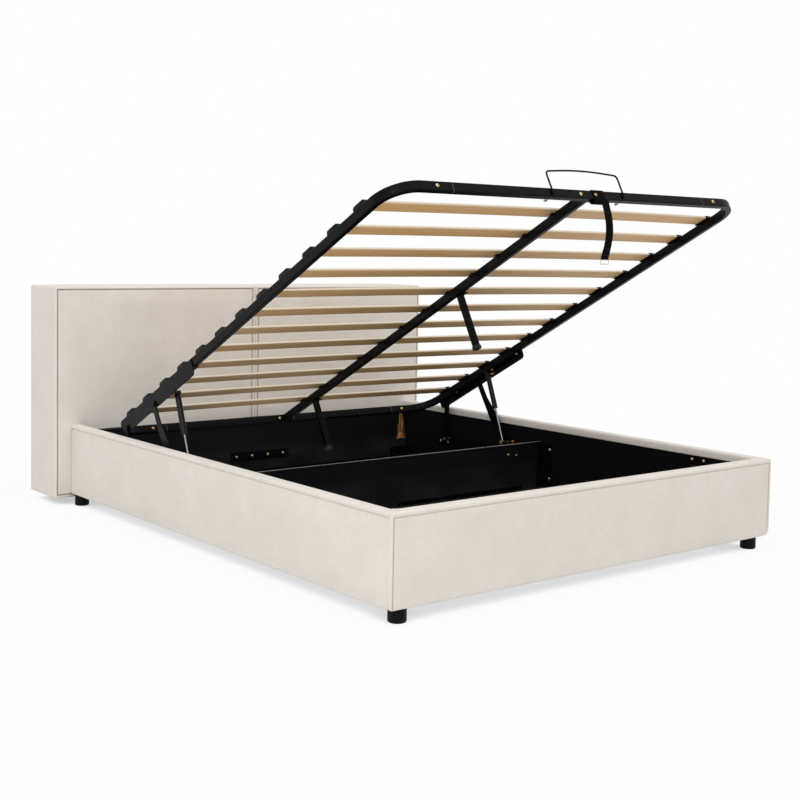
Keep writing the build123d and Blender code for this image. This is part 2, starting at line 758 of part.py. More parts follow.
# Slats and holders
slat_end = half_deck - holder_wall * 2 - holder_play
slat_low = holder_floor + holder_play
with BuildPart() as slats:
    for u in slat_places:
        with BuildSketch(cross_plane(u)):
            with BuildLine():
                ThreePointArc((-slat_end, slat_low), (0, slat_low + slat_crown), (slat_end, slat_low))
                Line((slat_end, slat_low), (slat_end, slat_low + slat_thickness))
                ThreePointArc((slat_end, slat_low + slat_thickness),
                              (0, slat_low + slat_crown + slat_thickness),
                              (-slat_end, slat_low + slat_thickness))
                Line((-slat_end, slat_low + slat_thickness), (-slat_end, slat_low))
            make_face()
        extrude(amount=slat_width / 2, both=True)
save(slats, "slats")

end_slope = 2 * slat_crown / slat_end
pocket_height = slat_thickness + holder_depth * end_slope + 2 * holder_play
holder_height = holder_floor + pocket_height + holder_roof
holder_length = slat_width + 2 * (holder_wall + holder_play)


def holder(low_x, high_x, pocket_low, pocket_high):
    """Slat holders over one X range, with the slat's pocket cut through the stated range."""
    for u in slat_places:
        block(cross_plane(u + holder_length / 2), (low_x, 0), (high_x, holder_height), holder_length)
        pocket_width = slat_width + 2 * holder_play
        with BuildSketch(cross_plane(u + pocket_width / 2)) as pocket:
            with Locations(((pocket_low + pocket_high) / 2, holder_floor + pocket_height / 2)):
                Rectangle(abs(pocket_high - pocket_low), pocket_height)
        extrude(pocket.sketch, amount=pocket_width, mode=Mode.SUBTRACT)


for side, sign in sides:
    with BuildPart() as side_holders:
        closed_x = half_deck - holder_wall * 2
        open_x = closed_x - holder_depth
        holder(sign * open_x, sign * (half_deck - holder_wall / 2), sign * (open_x - cut_over),
               sign * closed_x)
    save(side_holders, f"slat_holders_{side}")

# Pads on the centre bar that carry the slats' middles
pad_width, pad_length = centre_pad_size
with BuildPart() as centre_pads:
    for u in slat_places:
        block(cross_plane(u + pad_length / 2), (-pad_width / 2, 0),
              (pad_width / 2, slat_low + slat_crown - holder_play), pad_length)
save(centre_pads, "slat_pads_centre")

# Support legs under the centre bar
leg_bottom = -(closed_top - floor_top - leg_floor_gap)
leg_top = -centre_bar_height
flange_size, flange_thickness = leg_flange
for name, u in zip(("foot", "head"), leg_places):
    with BuildPart() as leg:
        with BuildSketch(deck_plane.offset(leg_bottom + leg_cap_wall)):
            with Locations((0, u)):
                tube_section(leg_size, leg_size, leg_wall, tube_corner_radius)
        extrude(amount=leg_top - leg_bottom - leg_cap_wall)
        with BuildSketch(deck_plane.offset(leg_top - flange_thickness)):
            with Locations((0, u)):
                RectangleRounded(flange_size, flange_size, tube_corner_radius)
        extrude(amount=flange_thickness)
    save(leg, f"support_leg_{name}")

with BuildPart() as leg_caps:
    for u in leg_places:
        cap_size = leg_size + 2 * leg_cap_wall
        with BuildSketch(deck_plane.offset(leg_bottom)):
            with Locations((0, u)):
                RectangleRounded(cap_size, cap_size, tube_corner_radius)
        extrude(amount=leg_cap_length)
        with BuildSketch(deck_plane.offset(leg_bottom + leg_cap_wall)):
            with Locations((0, u)):
                RectangleRounded(leg_size, leg_size, tube_corner_radius)
        extrude(amount=leg_cap_length, mode=Mode.SUBTRACT)
save(leg_caps, "leg_caps")

# Lift plates: steel angles on the side tubes that carry the pivots
for side, sign in sides:
    with BuildPart() as lift_plate:
        with BuildSketch(deck_side_plane(sign * half_deck)):
            with BuildLine() as rim:
                Polyline((lift_plate_start, -lift_plate_top), (lift_plate_end, -lift_plate_top),
                         (lift_plate_end, -lift_plate_bottom), (lift_plate_start, -lift_plate_bottom),
                         close=True)
            outline = make_face()
            low_corners = outline.vertices().group_by(Axis.Y)[0]
            fillet(low_corners, lift_plate_radius)
        extrude(amount=sign * lift_plate_thickness)
        flange_end = front_pivot_place + (rear_pivot_place - front_pivot_place) * lift_flange_share
        block(cross_plane(flange_end), (sign * (half_deck - tube_width), flange_underside),
              (sign * half_deck, -tube_height), flange_end - lift_plate_start)
        for place in plate_bolts[side]:
            bolt_hole(place, lift_flange_thickness)
        pin_hole = deck_side_plane(sign * (half_deck - cut_over))
        disc(pin_hole, (front_pivot_place, -pivot_depth), pivot_pin_radius + pivot_play,
             sign * (lift_plate_thickness + 2 * cut_over), Mode.SUBTRACT)
        disc(deck_side_plane(sign * half_deck), (rear_pivot_place, -pivot_depth), pivot_head_radius,
             -sign * pivot_head_height)
    save(lift_plate, f"lift_plate_{side}")

# Strut studs on the lift plates
with BuildPart() as strut_studs:
    for side, sign in sides:
        spot = (strut_pivot_place, -strut_pivot_depth)
        stud_length = half_deck - strut_outer - pin_short
        disc(deck_side_plane(sign * half_deck), spot, strut_pin_radius, -sign * stud_length)
        disc(deck_side_plane(sign * half_deck), spot, strut_nut_radius, -sign * strut_nut_length)
save(strut_studs, "strut_top_studs")

# Links
for side, sign in sides:
    with BuildPart() as rear_link:
        reach = hypot(rear_top[0] - rear_base[0], rear_top[1] - rear_base[1])
        slope = degrees(atan2(rear_top[1] - rear_base[1], rear_top[0] - rear_base[0]))
        middle = ((rear_base[0] + rear_top[0]) / 2, (rear_base[1] + rear_top[1]) / 2)
        with BuildSketch(side_plane(sign * link_inner)):
            with Locations(Location((middle[0], middle[1], 0), (0, 0, slope))):
                SlotCenterToCenter(reach, rear_link_width)
            with Locations(rear_base):
                Circle(pivot_pin_radius + pivot_play, mode=Mode.SUBTRACT)
        extrude(amount=sign * link_thickness)
        disc(side_plane(sign * link_outer), rear_top, pivot_head_radius, sign * pivot_head_height)
    save(rear_link, f"rear_link_{side}")

    with BuildPart() as front_link:
        reach = hypot(front_top[0] - front_base[0], front_top[1] - front_base[1])
        slope = degrees(atan2(front_top[1] - front_base[1], front_top[0] - front_base[0]))
        half = front_link_width / 2
        wide = front_link_foot_width - half
        low_knee, high_knee = (share * reach for share in front_link_flare_shares)
        link_plane = Plane(origin=(sign * link_inner, front_base[0], front_base[1]),
                           x_dir=(0, cos(radians(slope)), sin(radians(slope))), z_dir=(1, 0, 0))
        with BuildSketch(link_plane):
            with BuildLine():
                Polyline((0, -half), (reach, -half), (reach, half), (high_knee, half), (low_knee, wide),
                         (0, wide), close=True)
            make_face()
            with Locations((reach, 0)):
                Circle(half)
            with Locations((0, (wide - half) / 2)):
                Circle(front_link_foot_width / 2)
            Circle(pivot_pin_radius + pivot_play, mode=Mode.SUBTRACT)
        extrude(amount=sign * link_thickness)
        pin_length = link_gap + lift_plate_thickness + pin_short
        disc(side_plane(sign * link_inner), front_top, pivot_pin_radius, -sign * pin_length)
        disc(side_plane(sign * (link_inner - pin_length)), front_top, pivot_head_radius,
             -sign * pivot_head_height)
        disc(side_plane(sign * link_outer), front_top, pivot_head_radius, sign * pivot_head_height)
    save(front_link, f"front_link_{side}")

# Gas struts, drawn out full
strut_way = tuple((top - base) / strut_open_length for top, base in zip(strut_top, strut_base))


def strut_plane(sign, distance):
    """Plane square to a strut at a distance from its lower stud, facing the upper stud."""
    origin = (sign * strut_centre_place, strut_base[0] + distance * strut_way[0],
              strut_base[1] + distance * strut_way[1])
    return Plane(origin=origin, x_dir=(1, 0, 0), z_dir=(0, strut_way[0], strut_way[1]))


cylinder_start = strut_open_length - strut_cylinder_length
with BuildPart() as rods:
    for side, sign in sides:
        eye_face = side_plane(sign * strut_inner)
        disc(strut_plane(sign, 0), (0, 0), strut_rod_radius, strut_rod_length)
        disc(eye_face, strut_base, strut_eye_radius, sign * strut_eye_width)
        disc(side_plane(sign * (strut_inner - cut_over)), strut_base, strut_pin_radius + pivot_play,
             sign * (strut_eye_width + 2 * cut_over), Mode.SUBTRACT)
        disc(strut_plane(sign, strut_rod_length - strut_piston_length), (0, 0),
             strut_bore_radius - pivot_play, strut_piston_length)
save(rods, "strut_rods")

with BuildPart() as cylinders:
    for side, sign in sides:
        disc(strut_plane(sign, cylinder_start), (0, 0), strut_radius,
             strut_cylinder_length - strut_eye_radius / 2)
        disc(strut_plane(sign, cylinder_start + strut_cap_length), (0, 0), strut_bore_radius,
             strut_cylinder_length - 2 * strut_cap_length - strut_eye_radius, Mode.SUBTRACT)
        disc(strut_plane(sign, cylinder_start - cut_over), (0, 0), strut_rod_radius + pivot_play,
             strut_cap_length + 2 * cut_over, Mode.SUBTRACT)
        disc(side_plane(sign * strut_inner), strut_top, strut_eye_radius, sign * strut_eye_width)
save(cylinders, "strut_cylinders")

# Mattress stop: a bent wire up the foot tube's face, its ends through the tube and held by long nuts
stop_front = stop_wire_radius + stop_face_gap
with BuildPart() as stop_wire:
    stop_end = -tube_width - stop_tail
    with BuildLine(cross_plane(0)) as route:
        FilletPolyline((-stop_half_width, -stop_hole_depth, stop_end),
                       (-stop_half_width, -stop_hole_depth, stop_front),
                       (-stop_half_width, stop_height, stop_front),
                       (0, stop_crest, stop_front),
                       (stop_half_width, stop_height, stop_front),
                       (stop_half_width, -stop_hole_depth, stop_front),
                       (stop_half_width, -stop_hole_depth, stop_end),
                       radius=(stop_foot_radius, stop_corner_radius, stop_crest_radius,
                               stop_corner_radius, stop_foot_radius))
    with BuildSketch(Plane(origin=route.line @ 0, z_dir=route.line % 0)):
        Circle(stop_wire_radius)
    sweep()
save(stop_wire, "mattress_stop")

# Deck bolts and the mattress stop's nuts
with BuildPart() as deck_bolts:
    for place in foot_tube_bolts + head_tube_bolts:
        bolt(place, tube_bolt_depth - tube_wall)
    for side, sign in sides:
        for place in plate_bolts[side]:
            bolt(place, lift_flange_thickness + tube_wall)
    for way in (-1, 1):
        with BuildSketch(cross_plane(tube_width)):
            with Locations((way * stop_half_width, -stop_hole_depth)):
                RegularPolygon(stop_nut_radius, 6)
                Circle(stop_wire_radius + spigot_play, mode=Mode.SUBTRACT)
        extrude(amount=-stop_nut_length)
save(deck_bolts, "deck_bolts")

# Pull strap: a sewn loop round the foot tube and a tail that hangs from it with a ring
with BuildPart() as strap_loop:
    loop_start, loop_end = strap_loop_span
    face = deck_side_plane(loop_start)
    loop_width = tube_width + 2 * (strap_play + strap_thickness)
    loop_height = tube_height + 2 * (strap_play + strap_thickness)
    with BuildSketch(face):
        with Locations((foot_row, tube_mid)):
            RectangleRounded(loop_width, loop_height, tube_corner_radius + strap_thickness + strap_play)
            RectangleRounded(loop_width - 2 * strap_thickness, loop_height - 2 * strap_thickness,
                             tube_corner_radius + strap_play, mode=Mode.SUBTRACT)
    extrude(amount=loop_end - loop_start)
    disc(cross_plane(-cut_over), (centre_bolt_place, tube_mid), bolt_head_radius + spigot_play,
         -tube_width / 2 - cut_over, Mode.SUBTRACT)
    # Room for the centre bar's end plate behind the tube
    plate_low = -centre_bar_height - strap_play
    plate_high = -tube_corner_radius + strap_play
    with BuildSketch(cross_plane(tube_width)):
        with Locations((loop_start, (plate_low + plate_high) / 2)):
            Rectangle(2 * (end_half + strap_play - loop_start), plate_high - plate_low)
    extrude(amount=-2 * (strap_play + strap_thickness), mode=Mode.SUBTRACT)
save(strap_loop, "strap_loop")

loop_low = -tube_height - strap_play - strap_thickness
strap_pivot = deck_point(0, loop_low)
with BuildPart() as strap:
    hang_y = strap_pivot[0]
    hang_z = strap_pivot[1] - strap_play
    foot_z = hang_z - strap_drop
    mid_z = (hang_z + foot_z) / 2
    half = strap_thickness / 2
    with BuildSketch(side_plane(strap_centre - strap_width / 2)):
        with BuildLine():
            ThreePointArc((hang_y - half, hang_z), (hang_y - strap_bulge - half, mid_z),
                          (hang_y - strap_lean - half, foot_z))
            Line((hang_y - strap_lean - half, foot_z), (hang_y - strap_lean + half, foot_z))
            ThreePointArc((hang_y - strap_lean + half, foot_z), (hang_y - strap_bulge + half, mid_z),
                          (hang_y + half, hang_z))
            Line((hang_y + half, hang_z), (hang_y - half, hang_z))
        make_face()
    extrude(amount=strap_width)
save(strap, "pull_strap")

ring_width, ring_height = strap_ring_size
with BuildPart() as ring:
    with BuildSketch(wall_plane(hang_y - strap_lean + strap_ring_wire / 2)):
        with Locations((strap_centre, foot_z - ring_height / 2)):
            RectangleRounded(ring_width, ring_height, strap_ring_wire)
            RectangleRounded(ring_width - 2 * strap_ring_wire, ring_height - 2 * strap_ring_wire,
                             strap_ring_wire / 2, mode=Mode.SUBTRACT)
    extrude(amount=strap_ring_wire)
save(ring, "strap_ring")

# Pouch of spare bolts that hangs under the head tube
pouch_pivot = deck_point(head_row, -tube_height)
pouch_top = pouch_pivot[1] - pouch_gap
with BuildPart() as pouch:
    def pouch_outline(inset, top_gap):
        """Tapered outline of the bag, drawn in by the inset."""
        with BuildLine() as rim:
            Polyline((pouch_centre - pouch_top_width / 2 + inset, pouch_top - top_gap),
                     (pouch_centre + pouch_top_width / 2 - inset, pouch_top - top_gap),
                     (pouch_centre + pouch_bottom_width / 2 - inset, pouch_top - pouch_height + inset),
                     (pouch_centre - pouch_bottom_width / 2 + inset, pouch_top - pouch_height + inset),
                     close=True)
        make_face(rim.edges())

    with BuildSketch(wall_plane(pouch_pivot[0] + pouch_thickness / 2)):
        pouch_outline(0, 0)
    extrude(amount=pouch_thickness)
    with BuildSketch(wall_plane(pouch_pivot[0] + pouch_thickness / 2 - pouch_wall)):
        pouch_outline(pouch_wall, pouch_top_width / 2)
    extrude(amount=pouch_thickness - 2 * pouch_wall, mode=Mode.SUBTRACT)
save(pouch, "fixings_pouch")

with BuildPart() as spares:
    spare_z = pouch_top - pouch_height + pouch_wall
    narrowing = (pouch_bottom_width - pouch_top_width) * spare_bolt_length / pouch_height
    spare_span = pouch_bottom_width - narrowing - 4 * pouch_wall
    step = spare_span / spare_bolt_count
    for spare in range(spare_bolt_count):
        spare_x = pouch_centre - spare_span / 2 + step * (spare + 1 / 2)
        length = spare_bolt_length * (spare_bolt_short_share if spare % 2 else 1)
        with BuildSketch(Plane.XY.offset(spare_z)):
            with Locations((spare_x, pouch_pivot[0])):
                Circle(spare_bolt_radius)
        extrude(amount=length)
save(spares, "spare_bolts")

# Pivots and closing turns
rear_shut = closed_point(rear_pivot_place, -pivot_depth)
front_shut = closed_point(front_pivot_place, -pivot_depth)
print("deck origin", round(deck_y, 3), round(deck_z, 3))
print("rear base", rear_base, "rear top", rear_top, "turn", turn(rear_base, rear_top, rear_shut))
print("front base", front_base, "front top", front_top, "turn", turn(front_base, front_top, front_shut))
print("strut base", strut_base, "strut top", strut_top, "turn", turn(strut_base, strut_top, strut_shut),
      "travel", strut_shut_length - strut_open_length)
print("strap pivot", strap_pivot, "pouch pivot", pouch_pivot)
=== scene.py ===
"""Looks of an ottoman storage bed: padded covers, slatted deck on gas struts, fixings, light and camera."""

import json
import math

import bmesh
import bpy
import numpy as np
from mathutils import Matrix, Vector


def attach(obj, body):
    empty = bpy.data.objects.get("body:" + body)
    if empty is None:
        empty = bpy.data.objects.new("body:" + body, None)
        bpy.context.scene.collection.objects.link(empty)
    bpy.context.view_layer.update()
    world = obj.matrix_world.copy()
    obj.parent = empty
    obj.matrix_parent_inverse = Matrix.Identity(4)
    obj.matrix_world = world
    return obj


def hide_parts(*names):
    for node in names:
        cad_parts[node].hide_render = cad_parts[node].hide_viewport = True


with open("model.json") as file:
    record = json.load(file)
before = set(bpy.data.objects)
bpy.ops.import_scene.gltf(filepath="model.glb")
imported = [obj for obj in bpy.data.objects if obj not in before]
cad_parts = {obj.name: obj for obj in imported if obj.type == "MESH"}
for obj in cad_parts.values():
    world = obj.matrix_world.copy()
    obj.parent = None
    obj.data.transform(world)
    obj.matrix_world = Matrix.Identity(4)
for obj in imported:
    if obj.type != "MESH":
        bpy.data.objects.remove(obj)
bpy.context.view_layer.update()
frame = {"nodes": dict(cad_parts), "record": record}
nodes = frame["nodes"]

MM = 0.001
XY, XZ, YZ = (0, 1), (0, 2), (1, 2)
sides = (("left", -1), ("right", 1))

# Sizes repeated from the part's source
foot_y = -1.170
head_y = 0.930
half_bed = 0.872
inner_half = 0.830
board_inner = 0.832
board_outer = 0.850
rail_top = 0.326
rail_low = 0.047
rail_depth = 0.042
padding_depth = 22 * MM
board_lap = 2 * MM
lap_low = 0.298
board_top = 0.314
corner_lap = 12.3 * MM
cover_joint = 0.15 * MM
headboard_half_width = 0.935
headboard_top = 0.880
headboard_low = 0.030
headboard_back = 1.170
headboard_joint = 0.5 * MM
deck_origin = np.array((0.0, -1.044972, 1.256679))
deck_across = np.array((1.0, 0.0, 0.0))
deck_along = np.array((0.0, 0.882948, -0.469472))
deck_up = np.array((0.0, 0.469472, 0.882948))
deck_length = 1.980
tube_width = 0.022
tube_height = 0.032


def deck_point(x, u, d):
    """World place of a point of the open deck: across, from the foot face, and up from the top face."""
    return deck_origin + x * deck_across + u * deck_along + d * deck_up


# Materials
def colour(hex_value):
    """Linear RGBA of an sRGB hex value."""
    shades = [int(hex_value[i:i + 2], 16) / 255 for i in (1, 3, 5)]
    return [s / 12.92 if s <= 0.04045 else ((s + 0.055) / 1.055) ** 2.4 for s in shades] + [1]


def add(tree, kind, inputs=(), **settings):
    """Add a node, set its properties, and fill or link its inputs, given by name or in order."""
    made = tree.nodes.new(kind)
    for name, value in settings.items():
        setattr(made, name, value)
    for name, value in inputs.items() if isinstance(inputs, dict) else enumerate(inputs):
        if isinstance(value, str) and value.startswith("#"):
            value = colour(value)
        if isinstance(value, bpy.types.Node):
            value = value.outputs[0]
        if isinstance(value, bpy.types.NodeSocket):
            tree.links.new(value, made.inputs[name])
        else:
            made.inputs[name].default_value = value
    return made


def new_material(name):
    """A material with an empty tree, its tree, and its object coordinates."""
    made = bpy.data.materials.new(name)
    made.use_nodes = True
    tree = made.node_tree
    tree.nodes.clear()
    return made, tree, add(tree, "ShaderNodeTexCoord").outputs["Object"]


def uneven(tree, place, size_mm, stretch=(1, 1, 1), detail=3.0, roughness=0.55):
    """An uneven pattern, its features about size_mm across and longer by stretch along each axis."""
    scaled = add(tree, "ShaderNodeMapping", {"Vector": place, "Scale": [1 / s for s in stretch]})
    return add(tree, "ShaderNodeTexNoise", {"Vector": scaled, "Scale": 1 / (size_mm * MM),
                                            "Detail": detail, "Roughness": roughness})


def tinted(tree, pattern, low, high, most, base, tint):
    """A base colour with a tint where a pattern rises from low to high, up to the share most."""
    share = add(tree, "ShaderNodeMapRange", (pattern, low, high, 0, most))
    return add(tree, "ShaderNodeMix", {0: share, 6: base, 7: tint}, data_type="RGBA").outputs[2]


def finished(made, tree, base, roughness, specular, bump, bump_mm, strength, more=None):
    """Add the shader with its colour, gloss and bump, and link the output."""
    raised = add(tree, "ShaderNodeBump", {"Height": bump, "Distance": bump_mm * MM, "Strength": strength})
    add(tree, "ShaderNodeOutputMaterial", (add(tree, "ShaderNodeBsdfPrincipled", {
        "Base Color": base, "Roughness": roughness, "Specular IOR Level": specular, "Normal": raised,
        **(more or {})}),))
    return made


def upholstery_fabric():
    """Linen-look polyester: matt, warm off-white, with faint uneven yarns, a soft mottle, and painted shade
    that darkens its seams.
    """
    made, tree, place = new_material("linen_look_polyester")
    mottle = uneven(tree, place, 150, detail=5)
    small_mottle = uneven(tree, place, 26, detail=4)
    # Yarns are really 0.7 mm apart, drawn at 2.4 mm so that the weave still shows close up
    yarn_pitch, slub_length = 2.4, 18
    level_yarn = uneven(tree, place, 2.6, stretch=(slub_length, slub_length, 1), detail=2)
    upright_yarn = uneven(tree, place, 2.6, stretch=(1, 1, slub_length), detail=2)
    threads = [add(tree, "ShaderNodeTexWave", {"Vector": place, "Scale": 1 / (yarn_pitch * MM) / 20 * math.pi,
                                               "Distortion": 1.2, "Detail": 1.0},
                   bands_direction=axis).outputs["Fac"] for axis in "XYZ"]
    weave = add(tree, "ShaderNodeMath", threads[:2], operation="ADD")
    weave = add(tree, "ShaderNodeMath", (weave, threads[2]), operation="ADD")
    # Painted shade: the cloth is darker along its seams, where shade gathers in the creases
    seam_painted_shade = add(tree, "ShaderNodeAttribute", attribute_name="seam").outputs["Fac"]
    base = "#DDD6CD"
    for pattern, low, high, most, tint in (
            (mottle, 0.35, 0.65, 1, "#E4DDD5"), (small_mottle, 0.4, 0.7, 0.35, "#D8D0C6"),
            (level_yarn, 0.45, 0.8, 0.22, "#CFC6BA"), (upright_yarn, 0.45, 0.8, 0.16, "#EAE5DE"),
            (seam_painted_shade, 0.1, 1.0, 1, "#988C7E")):
        base = tinted(tree, pattern, low, high, most, base, tint)
    yarns = add(tree, "ShaderNodeMath", (level_yarn, upright_yarn), operation="ADD")
    height = add(tree, "ShaderNodeMath", (weave, 0.35, yarns), operation="MULTIPLY_ADD")
    sheen = {"Sheen Weight": 0.12, "Sheen Roughness": 0.5}
    return finished(made, tree, base, 0.92, 0.25, height, 0.3, 0.4, sheen)


def plain_finish(name, dark, light, roughness, size_mm, bump_mm,
                 specular=0.5, metallic=0.0, detail=3.0, wear=0.08):
    """A finish of two close shades, with a fine surface texture and uneven gloss."""
    made, tree, place = new_material(name)
    patches = uneven(tree, place, size_mm * 30)
    grain = uneven(tree, place, size_mm, detail=detail)
    gloss_patches = add(tree, "ShaderNodeMapRange", (patches, 0.3, 0.7, roughness - wear, roughness + wear))
    base = tinted(tree, patches, 0.35, 0.65, 1, dark, light)
    return finished(made, tree, base, gloss_patches, specular, grain, bump_mm, 0.6, {"Metallic": metallic})


def birch_slat():
    """Bent birch plywood: tan rotary-cut veneer with long soft grain, and pale edges that show the plies."""
    made, tree, place = new_material("bent_birch_plywood")
    grain = uneven(tree, place, 3.0, stretch=(60, 1, 1), detail=4, roughness=0.65)
    figure = uneven(tree, place, 22, stretch=(14, 1, 1))
    pores = uneven(tree, place, 0.8, stretch=(30, 1, 1), detail=2)
    tone, depth, on_edge = [add(tree, "ShaderNodeAttribute", attribute_name=name).outputs["Fac"]
                            for name in ("tone", "ply", "edge")]
    face = "#D3A56B"
    for pattern, low, high, most, tint in (
            (grain, 0.3, 0.7, 1, "#E9C491"), (figure, 0.45, 0.7, 0.6, "#EDCE9E"),
            (pores, 0.6, 0.75, 0.5, "#B08450"), (tone, 0, 1, 0.45, "#D5A468")):
        face = tinted(tree, pattern, low, high, most, face, tint)
    ply_count = 5.0
    plies = add(tree, "ShaderNodeMath", (depth, ply_count), operation="MULTIPLY")
    plies = add(tree, "ShaderNodeMath", (plies,), operation="FRACT")
    edge = tinted(tree, plies, 0.35, 0.65, 1, "#E6DBC9", "#CDB898")
    base = tinted(tree, on_edge, 0, 1, 1, face, edge)
    return finished(made, tree, base, 0.5, 0.5, grain, 0.12, 0.5)


def webbing():
    """Polyester webbing: matt black, with ribs across its width every 1.6 mm and ridges along it."""
    made, tree, place = new_material("polyester_webbing")
    waves = []
    for name, pitch in (("run", 1.6), ("side", 2.4)):
        reach = add(tree, "ShaderNodeAttribute", attribute_name=name).outputs["Fac"]
        turns = add(tree, "ShaderNodeMath", (reach, 2 * math.pi / (pitch * MM)), operation="MULTIPLY")
        waves.append(add(tree, "ShaderNodeMath", (turns,), operation="SINE"))
    weave = add(tree, "ShaderNodeMath", waves, operation="ADD")
    base = tinted(tree, weave, -1.5, 1.5, 1, "#030303", "#090909")
    return finished(made, tree, base, 0.8, 0.05, weave, 0.25, 0.8)


def amber_bag():
    """Polyethylene film: thin, clear and yellowed, with painted highlights in a paler colour along its
    creases.
    """
    made, tree, place = new_material("amber_polyethylene_film")
    creases = uneven(tree, place, 9, stretch=(1, 1, 9), detail=4)
    # Painted highlights: the film's colour is paler along its creases
    base = tinted(tree, creases, 0.3, 0.7, 1, "#A8702A", "#D9B36A")
    cover = add(tree, "ShaderNodeMapRange", (creases, 0.42, 0.72, 0.1, 0.75))
    return finished(made, tree, base, 0.14, 0.5, creases, 1.2, 0.9, {"IOR": 1.5, "Alpha": cover})


def divider_cloth():
    """The divider's black cloth: near black at the top, and paler low down in soft patches that follow its
    creases.
    """
    made, tree, place = new_material("divider_cloth")
    creases = uneven(tree, place, 95, stretch=(2.6, 1, 1), detail=4)
    height = add(tree, "ShaderNodeSeparateXYZ", (place,)).outputs["Z"]
    paler_below, darker_above = 130 * MM, 185 * MM
    pale = tinted(tree, creases, 0.38, 0.62, 1, "#0E0F0E", "#1F211F")
    base = tinted(tree, height, paler_below, darker_above, 1, pale, "#060606")
    return finished(made, tree, base, 0.7, 0.15, creases, 4.0, 0.5)


def divider_edging():
    """PVC edging that clips over the divider: grey only on a strip 4 mm wide on its crown, and painted black
    as painted shade on its flanks, so that only its lit top shows pale.
    """
    made, tree, place = new_material("pvc_edging")
    split = add(tree, "ShaderNodeSeparateXYZ", (place,))
    cap_middle, crown_low, crown_high = 34.5 * MM, 246 * MM, 247.5 * MM
    strip_half, strip_fade = 1.6 * MM, 2.8 * MM
    off = add(tree, "ShaderNodeMath", (split.outputs["Y"], cap_middle), operation="ADD")
    off = add(tree, "ShaderNodeMath", (off,), operation="ABSOLUTE")
    strip = add(tree, "ShaderNodeMapRange", (off, strip_half, strip_fade, 1, 0))
    high = add(tree, "ShaderNodeMapRange", (split.outputs["Z"], crown_low, crown_high, 0, 1))
    # Painted shade: away from the lit strip on its crown, the grey edging is painted black
    lit_crown = add(tree, "ShaderNodeMath", (strip, high), operation="MULTIPLY")
    patches = uneven(tree, place, 40)
    pale = tinted(tree, patches, 0.3, 0.7, 1, "#8C8D88", "#B4B5B0")
    base = tinted(tree, lit_crown, 0, 1, 1, "#080808", pale)
    return finished(made, tree, base, 0.4, 0.15, patches, 0.05, 0.5)


fabric = upholstery_fabric()
# Powder-coated steel: near black, satin, with a faint orange peel
steel = plain_finish("powder_coated_steel", "#060606", "#0A0A0A", 0.3, 1.1, 0.05, specular=0.07)
# Yellow-passivated zinc plate: warm grey-gold, uneven in tone
zinc = plain_finish("yellow_zinc_plate", "#B59A6C", "#D6BD8E", 0.36, 0.6, 0.03, metallic=1.0)
# Hard chrome on a ground rod: smooth and mirror-like, dulled by oil
chrome = plain_finish("hard_chrome_rod", "#727476", "#86888A", 0.18, 0.5, 0.01, metallic=1.0, wear=0.04)
# Gloss paint on the strut's cylinder: black, with clear narrow highlights
gloss = plain_finish("gloss_black_paint", "#060606", "#0A0A0A", 0.22, 1.5, 0.01, specular=0.2, wear=0.04)
# Moulded polypropylene: black, half matt, with a light spark-eroded texture
plastic = plain_finish("moulded_polypropylene", "#060606", "#0A0A0A", 0.4, 0.9, 0.06, specular=0.1)
# Rubber leg caps: flat black
rubber = plain_finish("rubber", "#0B0B0B", "#121212", 0.75, 0.9, 0.08)
# Glued non-woven lining: black felt with a fuzzy nap
felt = plain_finish("nonwoven_black_lining", "#050505", "#0A0A0A", 0.9, 1.6, 0.3, specular=0.1, detail=6.0)
# Woven cloth over the storage floor: near black, half matt, so that its creases catch light
floor_cloth = plain_finish("woven_black_cloth", "#0F100E", "#1A1C19", 0.6, 1.4, 0.2, specular=0.3, detail=5.0)
board = divider_cloth()
edging = divider_edging()
# Sawn pine carcass: pale yellow-brown, dry
pine = plain_finish("sawn_pine", "#C5A377", "#D9BD93", 0.75, 2.0, 0.3, detail=5.0)
# Nickel-plated wire ring: pale and shiny
nickel = plain_finish("nickel_plated_wire", "#C9C6BE", "#DDDAD3", 0.25, 0.5, 0.01, metallic=1.0, wear=0.04)
# Copper-flashed screws in the bag: warm orange and shiny
copper = plain_finish("copper_flashed_steel", "#D07A40", "#EBA066", 0.32, 0.5, 0.02, metallic=1.0)
# Thin band round a tube's joint: dull grey
joint_band_grey = plain_finish("grey_joint_band", "#4E4E4C", "#686866", 0.4, 0.5, 0.02)
# Bonded polyester thread: dark grey, so that the stitches show on black
thread = plain_finish("polyester_thread", "#2A2A29", "#3A3A38", 0.6, 0.4, 0.05)
slat_wood = birch_slat()
strap_web = webbing()
bag_film = amber_bag()

node_finishes = {
    "linen_cover": fabric, "pine_board": pine, "black_lining": felt, "black_board": board,
    "grey_edging": edging, "black_steel": steel, "zinc_fixings": zinc, "strut_rod": chrome,
    "black_plastic": plastic, "rubber_cap": rubber, "birch_slat": slat_wood, "black_webbing": strap_web,
    "ring_steel": nickel, "amber_film": bag_film,
}
slot_of = {part["node"]: part["material_slot"] for part in frame["record"]["subparts"]}
for name, body in nodes.items():
    body.data.materials.clear()
    body.data.materials.append(node_finishes[slot_of[name]])
nodes["strut_cylinders"].data.materials[0] = gloss


# Mesh helpers
def linked(name, data):
    """A new object with the given data, put in the scene."""
    made = bpy.data.objects.new(name, data)
    bpy.context.scene.collection.objects.link(made)
    return made


def new_piece(name, points, faces, material):
    """A smooth mesh object at the origin, from points in metres."""
    mesh = bpy.data.meshes.new(name)
    mesh.from_pydata([tuple(p) for p in points], [], [tuple(int(i) for i in f) for f in faces])
    mesh.materials.append(material)
    mesh.polygons.foreach_set("use_smooth", [True] * len(mesh.polygons))
    mesh.update()
    return linked(name, mesh)


def place_in(piece, body, node=None):
    """Attach a piece to the body it moves with, and hide the CAD node it stands for, if one is given."""
    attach(piece, body)
    if node:
        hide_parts(node)


